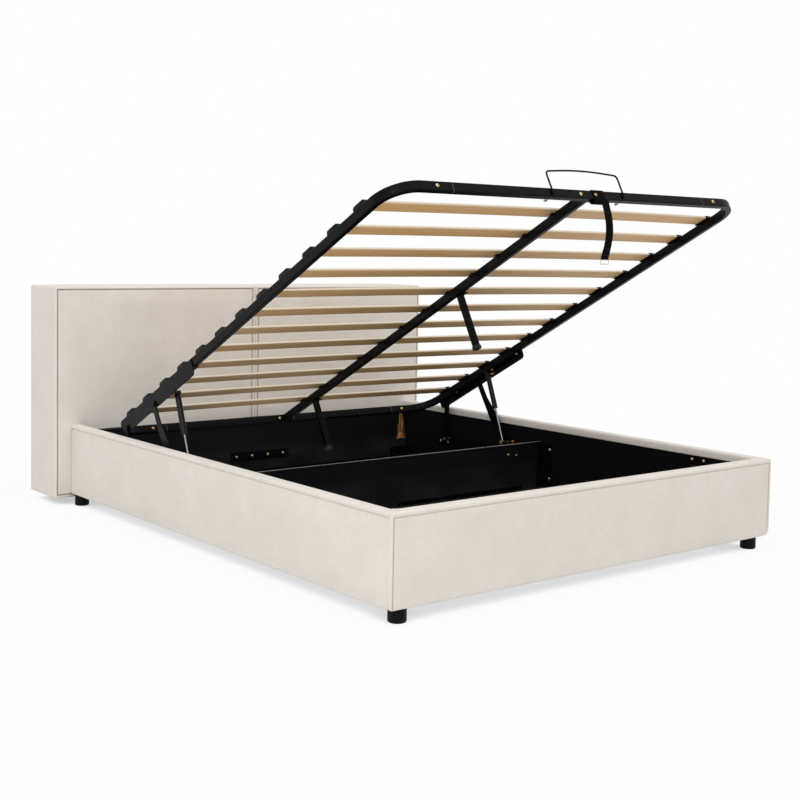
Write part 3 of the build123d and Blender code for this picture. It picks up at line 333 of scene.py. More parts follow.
def tidy_normals(piece, fill=False):
    """Merge doubles, or fill what is open, and turn every face outwards."""
    work = bmesh.new()
    work.from_mesh(piece.data)
    if fill:
        bmesh.ops.holes_fill(work, edges=[e for e in work.edges if e.is_boundary], sides=0)
    else:
        bmesh.ops.remove_doubles(work, verts=work.verts, dist=0.01 * MM)
    bmesh.ops.recalc_face_normals(work, faces=work.faces)
    work.to_mesh(piece.data)
    work.free()


def baked(piece):
    """Replace a piece's mesh by the one its modifiers make, and drop them."""
    graph = bpy.context.evaluated_depsgraph_get()
    mesh = bpy.data.meshes.new_from_object(piece.evaluated_get(graph))
    piece.modifiers.clear()
    piece.data = mesh
    return piece


def coordinates(mesh):
    """The mesh's points as an array."""
    flat = np.zeros(len(mesh.vertices) * 3)
    mesh.vertices.foreach_get("co", flat)
    return flat.reshape(-1, 3)


def mark(mesh, name, values):
    """Give each point of a mesh a number that materials or node trees read by name."""
    mesh.attributes.new(name, "FLOAT", "POINT").data.foreach_set("value", values)


def ring_angles(count):
    """Angles of points spread evenly round a ring."""
    return np.linspace(0, 2 * math.pi, count, endpoint=False)


def round_ring(radius, rise, count):
    """Points of a ring round the Z axis."""
    return [(radius * math.cos(a), radius * math.sin(a), rise) for a in ring_angles(count)]


def tube_faces(rings, around):
    """Quads of a closed section swept through rings."""
    faces = []
    for ring in range(rings - 1):
        for spot in range(around):
            after = (spot + 1) % around
            faces.append((ring * around + spot, ring * around + after,
                          (ring + 1) * around + after, (ring + 1) * around + spot))
    return faces


def loft(name, rings, material, caps=True):
    """A smooth skin through rings of points, each ring with the same count."""
    count = len(rings[0])
    points = np.concatenate([np.asarray(r, float) for r in rings])
    faces = tube_faces(len(rings), count)
    if caps:
        faces.append(tuple(range(count))[::-1])
        faces.append(tuple(range((len(rings) - 1) * count, len(rings) * count)))
    made = new_piece(name, points, faces, material)
    tidy_normals(made)
    made.data.set_sharp_from_angle(angle=math.radians(45))
    return made


def rounded_outline(wide, thick, radius, steps=3):
    """Points round a rounded rectangle, counter-clockwise from its lower right."""
    points = []
    for cx, cy, start in ((1, -1, -90), (1, 1, 0), (-1, 1, 90), (-1, -1, 180)):
        for step in range(steps + 1):
            angle = math.radians(start + 90 * step / steps)
            points.append((cx * (wide / 2 - radius) + radius * math.cos(angle),
                           cy * (thick / 2 - radius) + radius * math.sin(angle)))
    return points


# Upholstery: plain shells on their own grids, blown up a little as cloth, then sewn
seam_drop = 15.5 * MM
end_seam = 14 * MM
headboard_seam = 12.5 * MM
joint_seam = 15 * MM
seam_z = rail_top - seam_drop
rail_step, headboard_step, top_step, lap_step, low_step = 17 * MM, 19 * MM, 6 * MM, 7 * MM, 5 * MM
# Distances in millimetres from an edge or seam, where a grid is packed closer
rail_fan, top_fan, low_fan = (1.2, 2.6, 4.4, 7), (1.5, 3.2, 5.2, 7.4), (1.5, 3.2, 5.2)
web_fan, headboard_fan = (0.4, 8, 16, 24, 32), (1.2, 2.6, 4.4, 7, 9.4)
fan_clear_share = 1.3
least_gap = 0.6 * MM
tiny = 1e-6
ease = 60 * MM


def spaced(start, end, step, close=(), fan=rail_fan):
    """Numbers from start to end about a step apart, packed closer on both sides of the given places."""
    low, high = min(start, end), max(start, end)
    count = max(1, round((high - low) / step))
    clear = fan[-1] * MM * fan_clear_share
    kept = [v for v in np.linspace(low, high, count + 1)[1:-1] if all(abs(v - c) > clear for c in close)]
    for c in close:
        kept += [c + way * f * MM for f in fan for way in (-1, 1)] + [c]
    merged = [low]
    for v in sorted(v for v in kept if low + least_gap / 2 < v < high - least_gap / 2):
        if v - merged[-1] > least_gap:
            merged.append(v)
    merged.append(high)
    return merged if end > start else merged[::-1]


def ease_corners(points, corners):
    """Round corners, each in the plane of two axes: the square at a corner becomes a quarter disc."""
    for axes, corner, way, radius in corners:
        centre = [c - w * radius for c, w in zip(corner, way)]
        from_a, from_b = [(points[:, n] - c) * w for n, c, w in zip(axes, centre, way)]
        inside = (from_a > 0) & (from_b > 0)
        share = np.where(inside, np.maximum(from_a, from_b) / np.maximum(np.hypot(from_a, from_b), 1e-9), 1)
        for n, c, w, far in zip(axes, centre, way, (from_a, from_b)):
            points[:, n] = np.where(inside, c + w * far * share, points[:, n])


def box_grid(xs, ys, zs):
    """Points and quads of a closed box whose six faces are gridded by the given numbers."""
    index, points, faces = {}, [], []

    def corner(i, j, k):
        key = (i, j, k)
        if key not in index:
            index[key] = len(points)
            points.append((xs[i], ys[j], zs[k]))
        return index[key]

    last = (len(xs) - 1, len(ys) - 1, len(zs) - 1)
    for axis in range(3):
        p, q = [n for n in range(3) if n != axis]
        for side in (0, last[axis]):
            for i in range(last[p]):
                for j in range(last[q]):
                    quad = []
                    for di, dj in ((0, 0), (1, 0), (1, 1), (0, 1)):
                        spot = [0, 0, 0]
                        spot[axis], spot[p], spot[q] = side, i + di, j + dj
                        quad.append(corner(*spot))
                    faces.append(quad)
    return np.array(points), faces


def rail_section(face, back, board_back, board_face):
    """Section of a rail cover as (place, height), and where its top, its back and its low edge start."""
    outer = spaced(rail_low, rail_top, rail_step, (rail_low, seam_z, rail_top))[:-1]
    top = spaced(face, back, top_step, (face, back), top_fan)[:-1]
    low = spaced(board_face, face, low_step, (face,), low_fan)[1:-1]
    section = [(face, z) for z in outer] + [(place, rail_top) for place in top]
    section += [(back, z) for z in spaced(rail_top, lap_low, lap_step)[:-1]]
    section += [(back, lap_low), (board_back, lap_low), (board_back, board_top)]
    section += [(board_face, z) for z in (board_top, board_top / 2, rail_low)]
    return section + [(place, rail_low) for place in low], len(outer), len(outer) + len(top), len(section)


rail_round, inner_round, low_round, head_round = 8 * MM, 7 * MM, 6 * MM, 15 * MM
# The covers' lower corners at the foot are rounder than the rest, and the right one most
side_corner_extra = {"left": 10 * MM, "right": 36 * MM}
side_corner_reach = 50 * MM
foot_corner_round = {"left": 12 * MM, "right": 38 * MM}
web_round = 30 * MM


def side_cover(side, sign):
    """Padded cover of one side rail, swept from the foot cover's back to the headboard."""
    section = rail_section(half_bed, inner_half, board_inner, board_outer)[0]
    start, end = foot_y + corner_lap + cover_joint, head_y - cover_joint
    stations = spaced(start, end, rail_step, (start, end - end_seam, end))
    points = np.array([(x, y, z) for y in stations for x, z in section])
    near_foot = np.clip(1 - (points[:, 1] - start) / side_corner_reach, 0, 1)
    corner_round = side_corner_extra[side] * near_foot ** 1.5 + low_round
    ease_corners(points, (
        (XZ, (half_bed, rail_low), (1, -1), corner_round), (XZ, (half_bed, rail_top), (1, 1), rail_round),
        (XZ, (inner_half, rail_top), (-1, 1), inner_round), (XY, (half_bed, end), (1, 1), low_round),
        (YZ, (end, rail_top), (1, 1), head_round)))
    points[:, 0] *= sign
    return new_piece(f"side_rail_padding_{side}", points, tube_faces(len(stations), len(section)), fabric)


foot_left, foot_right = -half_bed + 10 * MM, half_bed - 14 * MM


def foot_cover():
    """Padded cover of the foot rail; beyond the side linings only its front layer runs on to the corners."""
    front, back = foot_y, foot_y + rail_depth
    board_back, board_face = back - board_lap, front + padding_depth
    section, top_start, back_start, low_start = rail_section(front, back, board_back, board_face)
    section = np.array(section)
    lap_y = foot_y + corner_lap
    layer = section.copy()
    layer[top_start:back_start, 0] = np.linspace(front, lap_y, back_start - top_start + 1)[:-1]
    layer[back_start:low_start, 0] = lap_y
    layer[back_start:low_start, 1] = np.linspace(rail_top, rail_low, low_start - back_start)
    layer[low_start:, 0] = np.linspace(lap_y, front, len(section) - low_start + 2)[1:-1]
    starts = spaced(-half_bed, -inner_half, rail_step, (-half_bed, foot_left))
    inner = spaced(-inner_half, inner_half, rail_step, (-inner_half, inner_half), web_fan)
    ends = spaced(inner_half, half_bed, rail_step, (half_bed, foot_right))
    stations = [(x, layer) for x in starts] + [(x, section) for x in inner] + [(x, layer) for x in ends]
    points = []
    for x, shape in stations:
        from_corner = max(0.0, web_round - (inner_half - abs(x)))
        bulge = web_round - math.sqrt(max(0.0, web_round ** 2 - from_corner ** 2)) if shape is section else 0
        for y, z in shape:
            points.append((x, y + (bulge if y > back - 1 * MM and z >= lap_low - tiny else 0), z))
    points = np.array(points)
    corners = [(YZ, (front, rail_top), (-1, 1), rail_round), (YZ, (front, rail_low), (-1, -1), low_round)]
    for side, sign in sides:
        edge = sign * half_bed
        corners = [(XZ, (edge, rail_low), (sign, -1), foot_corner_round[side]),
                   (XZ, (edge, rail_top), (sign, 1), rail_round)] + corners
        corners.append((XY, (edge, front), (sign, -1), rail_round))
    ease_corners(points, corners)
    return new_piece("foot_rail_padding", points, tube_faces(len(stations), len(section)), fabric)


headboard_round, joint_round, back_round = 9 * MM, 3 * MM, 5 * MM
low_share, front_low_share = 0.6, 0.7
carcass_gap, carcass_wall, front_padding = 3 * MM, 14 * MM, 38 * MM


def headboard_half(side, sign):
    """Padded cover of one headboard half: a deep soft box, open beneath for the carcass."""
    inner_x, outer_x = headboard_joint, headboard_half_width
    hollow_x = (headboard_joint + carcass_gap, headboard_half_width - carcass_wall)
    hollow_y = (head_y + front_padding, headboard_back - carcass_gap)
    xs = spaced(inner_x, outer_x, headboard_step,
                (inner_x, inner_x + joint_seam, outer_x - headboard_seam, outer_x), headboard_fan)
    ys = spaced(head_y, headboard_back, headboard_step, (head_y, headboard_back), headboard_fan)
    seams_z = (headboard_low + headboard_seam, headboard_top - headboard_seam)
    zs = spaced(headboard_low, headboard_top, headboard_step, (headboard_low, *seams_z, headboard_top),
                headboard_fan)
    points, faces = box_grid(xs, ys, zs)
    kept = []
    for quad in faces:
        x, y, z = points[quad].mean(0)
        beneath = abs(z - headboard_low) < tiny
        if not (beneath and hollow_x[0] < x < hollow_x[1] and hollow_y[0] < y < hollow_y[1]):
            kept.append(quad)
    corners = []
    for x_edge, x_way, radius in ((outer_x, 1, headboard_round), (inner_x, -1, joint_round)):
        corners += [(XZ, (x_edge, headboard_top), (x_way, 1), radius),
                    (XY, (x_edge, head_y), (x_way, -1), radius),
                    (XZ, (x_edge, headboard_low), (x_way, -1), radius * low_share)]
    corners += [(YZ, (head_y, headboard_top), (-1, 1), headboard_round),
                (YZ, (head_y, headboard_low), (-1, -1), headboard_round * front_low_share),
                (YZ, (headboard_back, headboard_top), (1, 1), back_round),
                (XY, (outer_x, headboard_back), (1, 1), back_round)]
    ease_corners(points, corners)
    points[:, 0] *= sign
    made = new_piece(f"headboard_padding_{side}", points, kept, fabric)
    work = bmesh.new()
    work.from_mesh(made.data)
    rim = [e for e in work.edges if e.is_boundary]
    for part in bmesh.ops.extrude_edge_only(work, edges=rim)["geom"]:
        if isinstance(part, bmesh.types.BMVert):
            part.co.z = headboard_top - carcass_wall
    work.to_mesh(made.data)
    work.free()
    tidy_normals(made, fill=True)
    made.data.polygons.foreach_set("use_smooth", [True] * len(made.data.polygons))
    return made


def seam_lines(points, lines, depth, width):
    """How deep each point sinks into the nearest seam line, each given as two ends and a share of depth."""
    sink = np.zeros(len(points))
    for start, end, share in lines:
        a, b = np.array(start), np.array(end)
        run = np.clip(((points - a) @ (b - a)) / ((b - a) @ (b - a)), 0, 1)
        gap = np.linalg.norm(points - (a + run[:, None] * (b - a)), axis=1)
        sink = np.maximum(sink, share * depth * np.exp(-(gap / width) ** 2))
    return sink


# Seam lines on the outer faces, with how strongly each shows, in groove depth and in painted shade
seam_start, seam_turn = foot_y + 16 * MM, 14 * MM
rail_seam_share, rail_end_share = 0.45, 0.9
foot_seam_share, foot_end_share, headboard_seam_share = 0.5, 0.7, 1.0
foot_lines = [((foot_left, foot_y, seam_z), (foot_right, foot_y, seam_z), foot_seam_share),
              ((foot_left, foot_y, seam_z), (foot_left, foot_y, rail_low), foot_end_share),
              ((foot_right, foot_y, seam_z), (foot_right, foot_y, rail_low + 20 * MM), foot_end_share)]


def rail_lines(sign):
    """Seam of one rail cover: along its top, round its corner and down its head end."""
    x, end = sign * half_bed, head_y - end_seam
    corner = [(x, end - seam_turn + seam_turn * math.sin(a), seam_z - seam_turn + seam_turn * math.cos(a))
              for a in np.linspace(0, math.pi / 2, 5)]
    points = [(x, seam_start, seam_z)] + corner + [(x, end, rail_low)]
    return [(a, b, rail_seam_share if a[1] < corner[0][1] else rail_end_share)
            for a, b in zip(points, points[1:])]


def headboard_lines(sign):
    """Seam loop on the front of one headboard half."""
    inner, outer = sign * (headboard_joint + joint_seam), sign * (headboard_half_width - headboard_seam)
    low, high = headboard_low + headboard_seam, headboard_top - headboard_seam
    corners = [(inner, low), (inner, high), (outer, high), (outer, low), (inner, low)]
    return [((a[0], head_y, a[1]), (b[0], head_y, b[1]), headboard_seam_share)
            for a, b in zip(corners, corners[1:])]


padded = {}
for side, sign in sides:
    padded[f"side_rail_cover_{side}"] = (side_cover(side, sign), rail_lines(sign))
    padded[f"headboard_cover_{side}"] = (headboard_half(side, sign), headboard_lines(sign))
padded["foot_rail_cover"] = (foot_cover(), foot_lines)


def panel_share(value, low, high):
    """0 at both ends of a span and 1 inside it."""
    return np.clip(np.minimum(value - low, high - value) / ease, 0, 1)


def loose_share(node, points):
    """How free each point of a cover is: 1 in the middle of a stuffed panel, 0 on seams, laps and backs."""
    x, y, z = np.abs(points[:, 0]), points[:, 1], points[:, 2]
    skin = 1 * MM
    rail_height = panel_share(z, rail_low, seam_z)
    if node == "foot_rail_cover":
        return (y < foot_y + skin) * panel_share(x, -1, half_bed - end_seam) * rail_height
    if node.startswith("side"):
        return (x > half_bed - skin) * panel_share(y, foot_y + corner_lap, head_y - end_seam) * rail_height
    front = (y < head_y + skin) * panel_share(x, joint_seam, headboard_half_width - headboard_seam) \
        * panel_share(z, headboard_low + headboard_seam, headboard_top - headboard_seam)
    deep = panel_share(y, head_y, headboard_back)
    flank = (x > headboard_half_width - skin) * deep * panel_share(z, headboard_low, headboard_top)
    top = (z > headboard_top - skin) * panel_share(x, joint_seam, headboard_half_width) * deep
    return np.maximum(front, 0.6 * np.maximum(flank, top))


swell_cap, free_gain = 4.5 * MM, 1.5
cloth_settings = {"vertex_group_mass": "held", "quality": 4, "mass": 0.3, "tension_stiffness": 12,
                  "compression_stiffness": 12, "bending_stiffness": 0.8, "use_pressure": True,
                  "uniform_pressure_force": 4}


def swell():
    """Blow the covers up a little as cloth held at its seams, and cap how far each point moves."""
    scene = bpy.context.scene
    rests = {}
    for node, (piece, _) in padded.items():
        points = coordinates(piece.data)
        free = loose_share(node, points)
        rests[node] = (points, free)
        group = piece.vertex_groups.new(name="held")
        for index, share in enumerate(free):
            group.add([index], float(1 - min(1.0, share * free_gain)), "REPLACE")
        cloth = piece.modifiers.new("cloth", "CLOTH")
        for name, value in cloth_settings.items():
            setattr(cloth.settings, name, value)
        cloth.settings.effector_weights.gravity = 0
        cloth.collision_settings.use_collision = False
        cloth.point_cache.frame_start, cloth.point_cache.frame_end = 1, 20
    for number in range(1, 21):
        scene.frame_set(number)
    graph = bpy.context.evaluated_depsgraph_get()
    for node, (piece, _) in padded.items():
        points, free = rests[node]
        moved = coordinates(piece.evaluated_get(graph).data) - points
        length = np.linalg.norm(moved, axis=1)
        capped = swell_cap * np.tanh(length / swell_cap) / np.maximum(length, 1e-9)
        moved *= (capped * np.minimum(1, free * free_gain))[:, None]
        piece.modifiers.clear()
        piece.vertex_groups.clear()
        piece.data.vertices.foreach_set("co", (points + moved).ravel())
    scene.frame_set(1)


swell()

seam_depth, seam_width, seam_shade_width = 3.4 * MM, 2.6 * MM, 2.8 * MM
for node, (piece, lines) in padded.items():
    finer = piece.modifiers.new("finer", "SUBSURF")
    finer.levels = finer.render_levels = 1
    baked(piece)
    points = coordinates(piece.data)
    normals = np.zeros(len(points) * 3)
    piece.data.vertices.foreach_get("normal", normals)
    normals = normals.reshape(-1, 3)
    outward = 1.0
    if not node.startswith("headboard"):
        outward = 1.0 if ((points - points.mean(0)) * normals).sum() > 0 else -1.0
    # Mark the painted seam shade that the cloth's colour reads
    mark(piece.data, "seam", seam_lines(points, lines, 1.0, seam_shade_width))
    points -= outward * normals * seam_lines(points, lines, seam_depth, seam_width)[:, None]
    piece.data.vertices.foreach_set("co", points.ravel())
    tidy_normals(piece, fill=True)
    piece.data.set_sharp_from_angle(angle=math.radians(55))
    place_in(piece, "base", node)


# Repeated pieces: one shape set on marked points by a node tree
def repeat_tree():
    """Geometry nodes that set a shape on each point, turned by the point's own marks and sized at random
    within a given play.
    """
    tree = bpy.data.node_groups.new("repeat_piece", "GeometryNodeTree")
    for name, kind in (("Points", "NodeSocketGeometry"), ("Shape", "NodeSocketObject"),
                       ("Finish", "NodeSocketMaterial"), ("Size play", "NodeSocketFloat"),
                       ("Seed", "NodeSocketInt")):
        tree.interface.new_socket(name, in_out="INPUT", socket_type=kind)
    tree.interface.new_socket("Pieces", in_out="OUTPUT", socket_type="NodeSocketGeometry")
    given = add(tree, "NodeGroupInput").outputs
    shape = add(tree, "GeometryNodeObjectInfo", {"Object": given["Shape"]})
    turn = add(tree, "GeometryNodeInputNamedAttribute", {"Name": "turn"}, data_type="FLOAT_VECTOR")
    turned = add(tree, "FunctionNodeEulerToRotation", {"Euler": turn.outputs["Attribute"]})
    least = add(tree, "ShaderNodeMath", (1.0, given["Size play"]), operation="SUBTRACT")
    most = add(tree, "ShaderNodeMath", (1.0, given["Size play"]), operation="ADD")
    size = add(tree, "FunctionNodeRandomValue", {2: least, 3: most, "Seed": given["Seed"]}, data_type="FLOAT")
    placed = add(tree, "GeometryNodeInstanceOnPoints",
                 {"Points": given["Points"], "Instance": shape.outputs["Geometry"],
                  "Rotation": turned, "Scale": size.outputs[1]})
    real = add(tree, "GeometryNodeRealizeInstances", {"Geometry": placed})
    coloured = add(tree, "GeometryNodeSetMaterial", {"Geometry": real, "Material": given["Finish"]})
    add(tree, "NodeGroupOutput", {"Pieces": coloured})
    return tree


repeat_piece = repeat_tree()


def repeated(name, shape, places, turns, material, seed, play=0.0, tones=None):
    """A piece made of copies of a shape, at the places and turned as given."""
    mesh = bpy.data.meshes.new(name)
    mesh.from_pydata([tuple(p) for p in places], [], [])
    mesh.attributes.new("turn", "FLOAT_VECTOR", "POINT").data.foreach_set(
        "vector", np.array([tuple(t) for t in turns]).ravel())
    if tones is not None:
        mark(mesh, "tone", tones)
    made = linked(name, mesh)
    nodes_used = made.modifiers.new("repeat", "NODES")
    nodes_used.node_group = repeat_piece
    given = {"Shape": shape, "Finish": material, "Size play": play, "Seed": seed}
    for socket in repeat_piece.interface.items_tree:
        if socket.in_out == "INPUT" and socket.name in given:
            nodes_used[socket.identifier] = given[socket.name]
    baked(made)
    bpy.data.objects.remove(shape)
    if not made.data.materials:
        made.data.materials.append(material)
    made.data.polygons.foreach_set("use_smooth", [True] * len(made.data.polygons))
    made.data.set_sharp_from_angle(angle=math.radians(50))
    return made


deck_tilt = math.atan2(-deck_along[2], deck_along[1])
deck_turn = Matrix.Rotation(-deck_tilt, 3, "X")


def facing(direction, spin=0.0):
    """Turn that points a shape's own Z along a direction."""
    turn = Vector(direction).to_track_quat("Z", "Y").to_matrix() @ Matrix.Rotation(spin, 3, "Z")
    return turn.to_euler()


# Slats: bowed birch plywood, rounded edges, pale where the plies show
slat_rows, first_slat, slat_pitch = 12, 0.172, 0.148727
slat_wide, slat_thick, slat_crown, slat_low, slat_end = 0.053, 0.008, 0.005, 0.0023, 0.7917
slat_round = 2.2 * MM
slat_spots = [deck_point(0, first_slat + row * slat_pitch, 0) for row in range(slat_rows)]


def slat_shape():
    """One slat in the deck's own axes, its ends a little above the deck's top."""
    outline = rounded_outline(slat_wide, slat_thick, slat_round)
    rings = []
    for x in np.linspace(-slat_end, slat_end, 33):
        rise = slat_low + slat_crown * (1 - (x / slat_end) ** 2) + slat_thick / 2
        rings.append([(x, y, rise + z) for y, z in outline])
    made = loft("slat", rings, slat_wood)
    points = coordinates(made.data)
    rise = slat_low + slat_crown * (1 - (points[:, 0] / slat_end) ** 2)
    mark(made.data, "ply", np.clip((points[:, 2] - rise) / slat_thick, 0, 1))
    mark(made.data, "edge", (np.abs(points[:, 1]) > slat_wide / 2 - slat_round * 0.7).astype(float))
    return made


tones = np.random.default_rng(7).uniform(0, 1, slat_rows)
slats = repeated("slats_bowed", slat_shape(), slat_spots, [deck_turn.to_euler()] * slat_rows, slat_wood, 3,
                 tones=tones)
place_in(slats, "deck", "slats")

# Slat holders: moulded caps with sloped, rounded shoulders and a pocket for the slat's end
holder_long, holder_tall = 0.0616, 0.0133
holder_open, holder_closed, holder_out = 0.773, 0.792, 0.798
holder_shoulder, holder_crest, holder_foot = 7 * MM, 4 * MM, 3 * MM
pocket_middle, pocket_half = 6.6 * MM, (slat_wide / 2 + 0.3 * MM, 4.6 * MM)


def holder_shape():
    """One right-hand holder in the deck's own axes, with x measured from the bed's middle."""
    base, top = holder_long / 2, holder_long / 2 - holder_shoulder
    lift, wide = 0.2 * MM, holder_crest + holder_shoulder * 0.55
    outer = [(-base, lift), (-base * 0.5, 0), (0, 0), (base * 0.5, 0), (base, lift), (base, holder_foot)]
    for side, start in ((1, 15), (-1, 90)):
        if side < 0:
            outer += [(top * 0.4, holder_tall), (-top * 0.4, holder_tall)]
        for step in range(5):
            angle = math.radians(start + 75 * step / 4)
            outer.append((side * (top - holder_crest) + wide * math.cos(angle),
                          holder_tall - holder_crest + holder_crest * math.sin(angle)))
    outer.append((-base, holder_foot))
    inner = []
    for y, z in outer:
        reach = max(abs(y) / pocket_half[0], abs(z - pocket_middle) / pocket_half[1])
        inner.append((y / reach, pocket_middle + (z - pocket_middle) / reach))
    lip = holder_open - 0.4 * MM
    stations = ((holder_closed, inner, 1, 1), (holder_open, inner, 1, 1), (lip, inner, 1.01, 1),
                (lip, outer, 0.985, 0.97), (holder_open + 0.8 * MM, outer, 1, 1),
                (holder_out - 1.2 * MM, outer, 1, 1), (holder_out, outer, 0.97, 0.93))
    rings = [[(x, y * long_share, z * tall_share) for y, z in outline]
             for x, outline, long_share, tall_share in stations]
    return loft("holder", rings, plastic)


for side, sign in sides:
    turn = deck_turn if sign > 0 else deck_turn @ Matrix.Rotation(math.pi, 3, "Z")
    turns = [turn.to_euler()] * slat_rows
    holders = repeated(f"slat_caps_{side}", holder_shape(), slat_spots, turns, plastic, 5)
    place_in(holders, "deck", f"slat_holders_{side}")


# Bolts: domed heads with a hexagon socket
def bolt_shape(radius, height):
    """A domed socket head that stands on the ground plane."""
    profile = [(1, 0), (1, 0.16), (0.96, 0.36), (0.84, 0.62), (0.66, 0.84), (0.46, 0.97), (0.42, 0.98)]
    rings = [round_ring(share * radius, rise * height, 24) for share, rise in profile]
    for deep in (0.96, 0.5):
        ring = []
        for a in ring_angles(24):
            flat = 0.38 * radius * math.cos(math.pi / 6) / math.cos((a % (math.pi / 3)) - math.pi / 6)
            ring.append((flat * math.cos(a), flat * math.sin(a), deep * height))
        rings.append(ring)
    return loft("bolt", rings, zinc)


# Where the heads stand and which way they face, on the faces of the CAD's bolted plates
rail_inside, bracket_inside, head_inside, foot_inside = 0.828, 0.765, 0.883, -1.126
bracket_z = 0.094
base_bolts = [((x, 0.882, 0.134), (0, -1, 0)) for x in (-0.120, -0.041, 0.041, 0.120)]
for _, sign in sides:
    base_bolts += [((sign * rail_inside, -0.090, z), (-sign, 0, 0)) for z in (bracket_z, 0.218)]
    base_bolts += [((sign * rail_inside, -1.063, bracket_z), (-sign, 0, 0)),
                   ((sign * bracket_inside, foot_inside, bracket_z), (0, 1, 0))]
    base_bolts += [((sign * 0.827, y, 0.283), (-sign, 0, 0)) for y in (-0.899, -0.845)]
    base_bolts += [((sign * 0.826, y, 0.166), (-sign, 0, 0)) for y in (0.12203, 0.17503, 0.5685, 0.6215)]
# The bolts of the head corners have the brackets' black steel finish
dark_bolts = [((sign * rail_inside, 0.820, bracket_z), (-sign, 0, 0)) for _, sign in sides]
dark_bolts += [((sign * bracket_inside, head_inside, bracket_z), (0, -1, 0)) for _, sign in sides]
# Two small screws at each end of the divider's foot side hold its brackets; the CAD has none there
small_screws = [((sign * x, -0.042, z), (0, -1, 0))
                for _, sign in sides for x, z in ((0.633, 0.207), (0.679, 0.201))]
bolt_deep, head_seats = -0.016, {-0.633: 1.958, -0.034: 1.956, 0.034: 1.956, 0.633: 1.958}
deck_bolts = []
for x, head_u in head_seats.items():
    deck_bolts += [(deck_point(x, u, bolt_deep), -deck_along) for u in (0, head_u)]
for _, sign in sides:
    deck_bolts += [(deck_point(sign * 0.789, u, -0.035), -deck_up) for u in (1.303, 1.475, 1.738)]

spins = np.random.default_rng(11).uniform(0, math.pi, 80)
head_size, screw_size = (6.5 * MM, 4.4 * MM), (4.6 * MM, 2.6 * MM)
for name, size, bolts, first_spin, material, seed, play, body, slot, node in (
        ("base_bolt_heads", head_size, base_bolts, 0, zinc, 1, 0.02, "base", "zinc_fixings", "base_bolts"),
        ("base_bolt_heads_dark", head_size, dark_bolts, 60, steel, 8, 0.0, "base", "black_steel", None),
        ("divider_screw_heads", screw_size, small_screws, 70, zinc, 9, 0.03, "base", "zinc_fixings", None),
        ("deck_bolt_heads", head_size, deck_bolts, 40, zinc, 2, 0.02, "deck", "zinc_fixings", "deck_bolts")):
    turns = [facing(way, spin) for (_, way), spin in zip(bolts, spins[first_spin:])]
    heads = repeated(name, bolt_shape(*size), [place for place, _ in bolts], turns, material, seed, play)
    place_in(heads, body, node)


# Felt pads between the centre bar and the slats
def pad_shape():
    """A small pad on the bar's top, softened at its edges."""
    wide, long, corner = 8 * MM, 16 * MM, 2 * MM
    rings = [[(a, b, d * MM) for a, b in rounded_outline(wide * k, long * k, corner)]
             for k, d in ((0.96, 0), (1, 0.8), (1, 6.2), (0.94, 6.9))]
    return loft("pad", rings, felt)


pads = repeated("slat_pads_felt", pad_shape(), slat_spots, [deck_turn.to_euler()] * slat_rows, felt, 12)
place_in(pads, "deck", "slat_pads_centre")

# Thin grey bands where the corner bends are pushed on to the foot and head tubes
tube_joint_x = 0.572
for end, u in (("foot", tube_width / 2), ("head", deck_length - tube_width / 2)):
    for side, sign in sides:
        rings = []
        for grow, off in ((0.0, 0.0), (0.5, 0.1), (0.5, 1.3), (0.0, 1.4)):
            outline = rounded_outline(tube_width + grow * MM, tube_height + grow * MM, 4 * MM)
            x = sign * (tube_joint_x + off * MM)
            rings.append([deck_point(x, u + a, -tube_height / 2 + b) for a, b in outline])
        place_in(loft(f"tube_edge_{end}_{side}", rings, joint_band_grey), "deck")


# Long nuts on the ends of the mattress stop, behind the foot tube
def long_nut_shape():
    """A hexagon nut, 18 mm long, with chamfered ends."""
    profile = ((0.84, 0), (1, 1.0), (1, 17.0), (0.84, 18.0), (0.5, 18.0), (0.45, 17.4))
    return loft("long_nut", [round_ring(5.5 * MM * share, rise * MM, 6) for share, rise in profile], nickel)


stop_ends = [deck_point(x, 0.022, -0.024) for x in (-0.164, 0.164)]
stop_turns = [facing(deck_along, spin) for spin in (0.3, 0.9)]
nuts = repeated("stop_nuts", long_nut_shape(), stop_ends, stop_turns, nickel, 4)
place_in(nuts, "deck")


# Pull strap: webbing round the foot tube, a hanging tail, and a wire ring in its sewn end
def ribbon(name, line, across, wide, thick, material):
    """Flat webbing along a line of points; across is the unit direction of its width."""
    line = np.asarray(line, float)
    run = np.concatenate([[0], np.cumsum(np.linalg.norm(np.diff(line, axis=0), axis=1))])
    ways = np.gradient(line, axis=0)
    ways /= np.linalg.norm(ways, axis=1)[:, None]
    outline = rounded_outline(wide, thick, thick * 0.45, 2)
    side_way = np.asarray(across, float)
    rings, marks = [], []
    for place, way, far in zip(line, ways, run):
        face_way = np.cross(way, side_way)
        rings.append([place + a * side_way + b * face_way for a, b in outline])
        marks += [(far, a) for a, _ in outline]
    made = loft(name, rings, material)
    points = np.concatenate([np.asarray(r) for r in rings])
    marks = np.array([marks[int(np.argmin(((points - f) ** 2).sum(1)))] for f in coordinates(made.data)])
    mark(made.data, "run", marks[:, 0].copy())
    mark(made.data, "side", marks[:, 1].copy())
    return made


strap_thick, strap_wide, strap_x = 1.8 * MM, 34 * MM, 70 * MM
loop_start, loop_end = 20 * MM, 74 * MM
loop_grow, loop_round, loop_slack = 3 * MM, 5 * MM, 5 * MM
wrap = []
for a, b in rounded_outline(tube_width + loop_grow, tube_height + loop_grow, loop_round, 6):
    slack = loop_slack * max(0.0, -b / (tube_height / 2)) ** 6 * (1 - (a / tube_width) ** 2)
    wrap.append(deck_point((loop_start + loop_end) / 2, tube_width / 2 + a, -tube_height / 2 + b - slack))
wrap.append(wrap[0])
loop = ribbon("strap_wrap", wrap, deck_across, loop_end - loop_start, strap_thick, strap_web)
place_in(loop, "deck", "strap_loop")

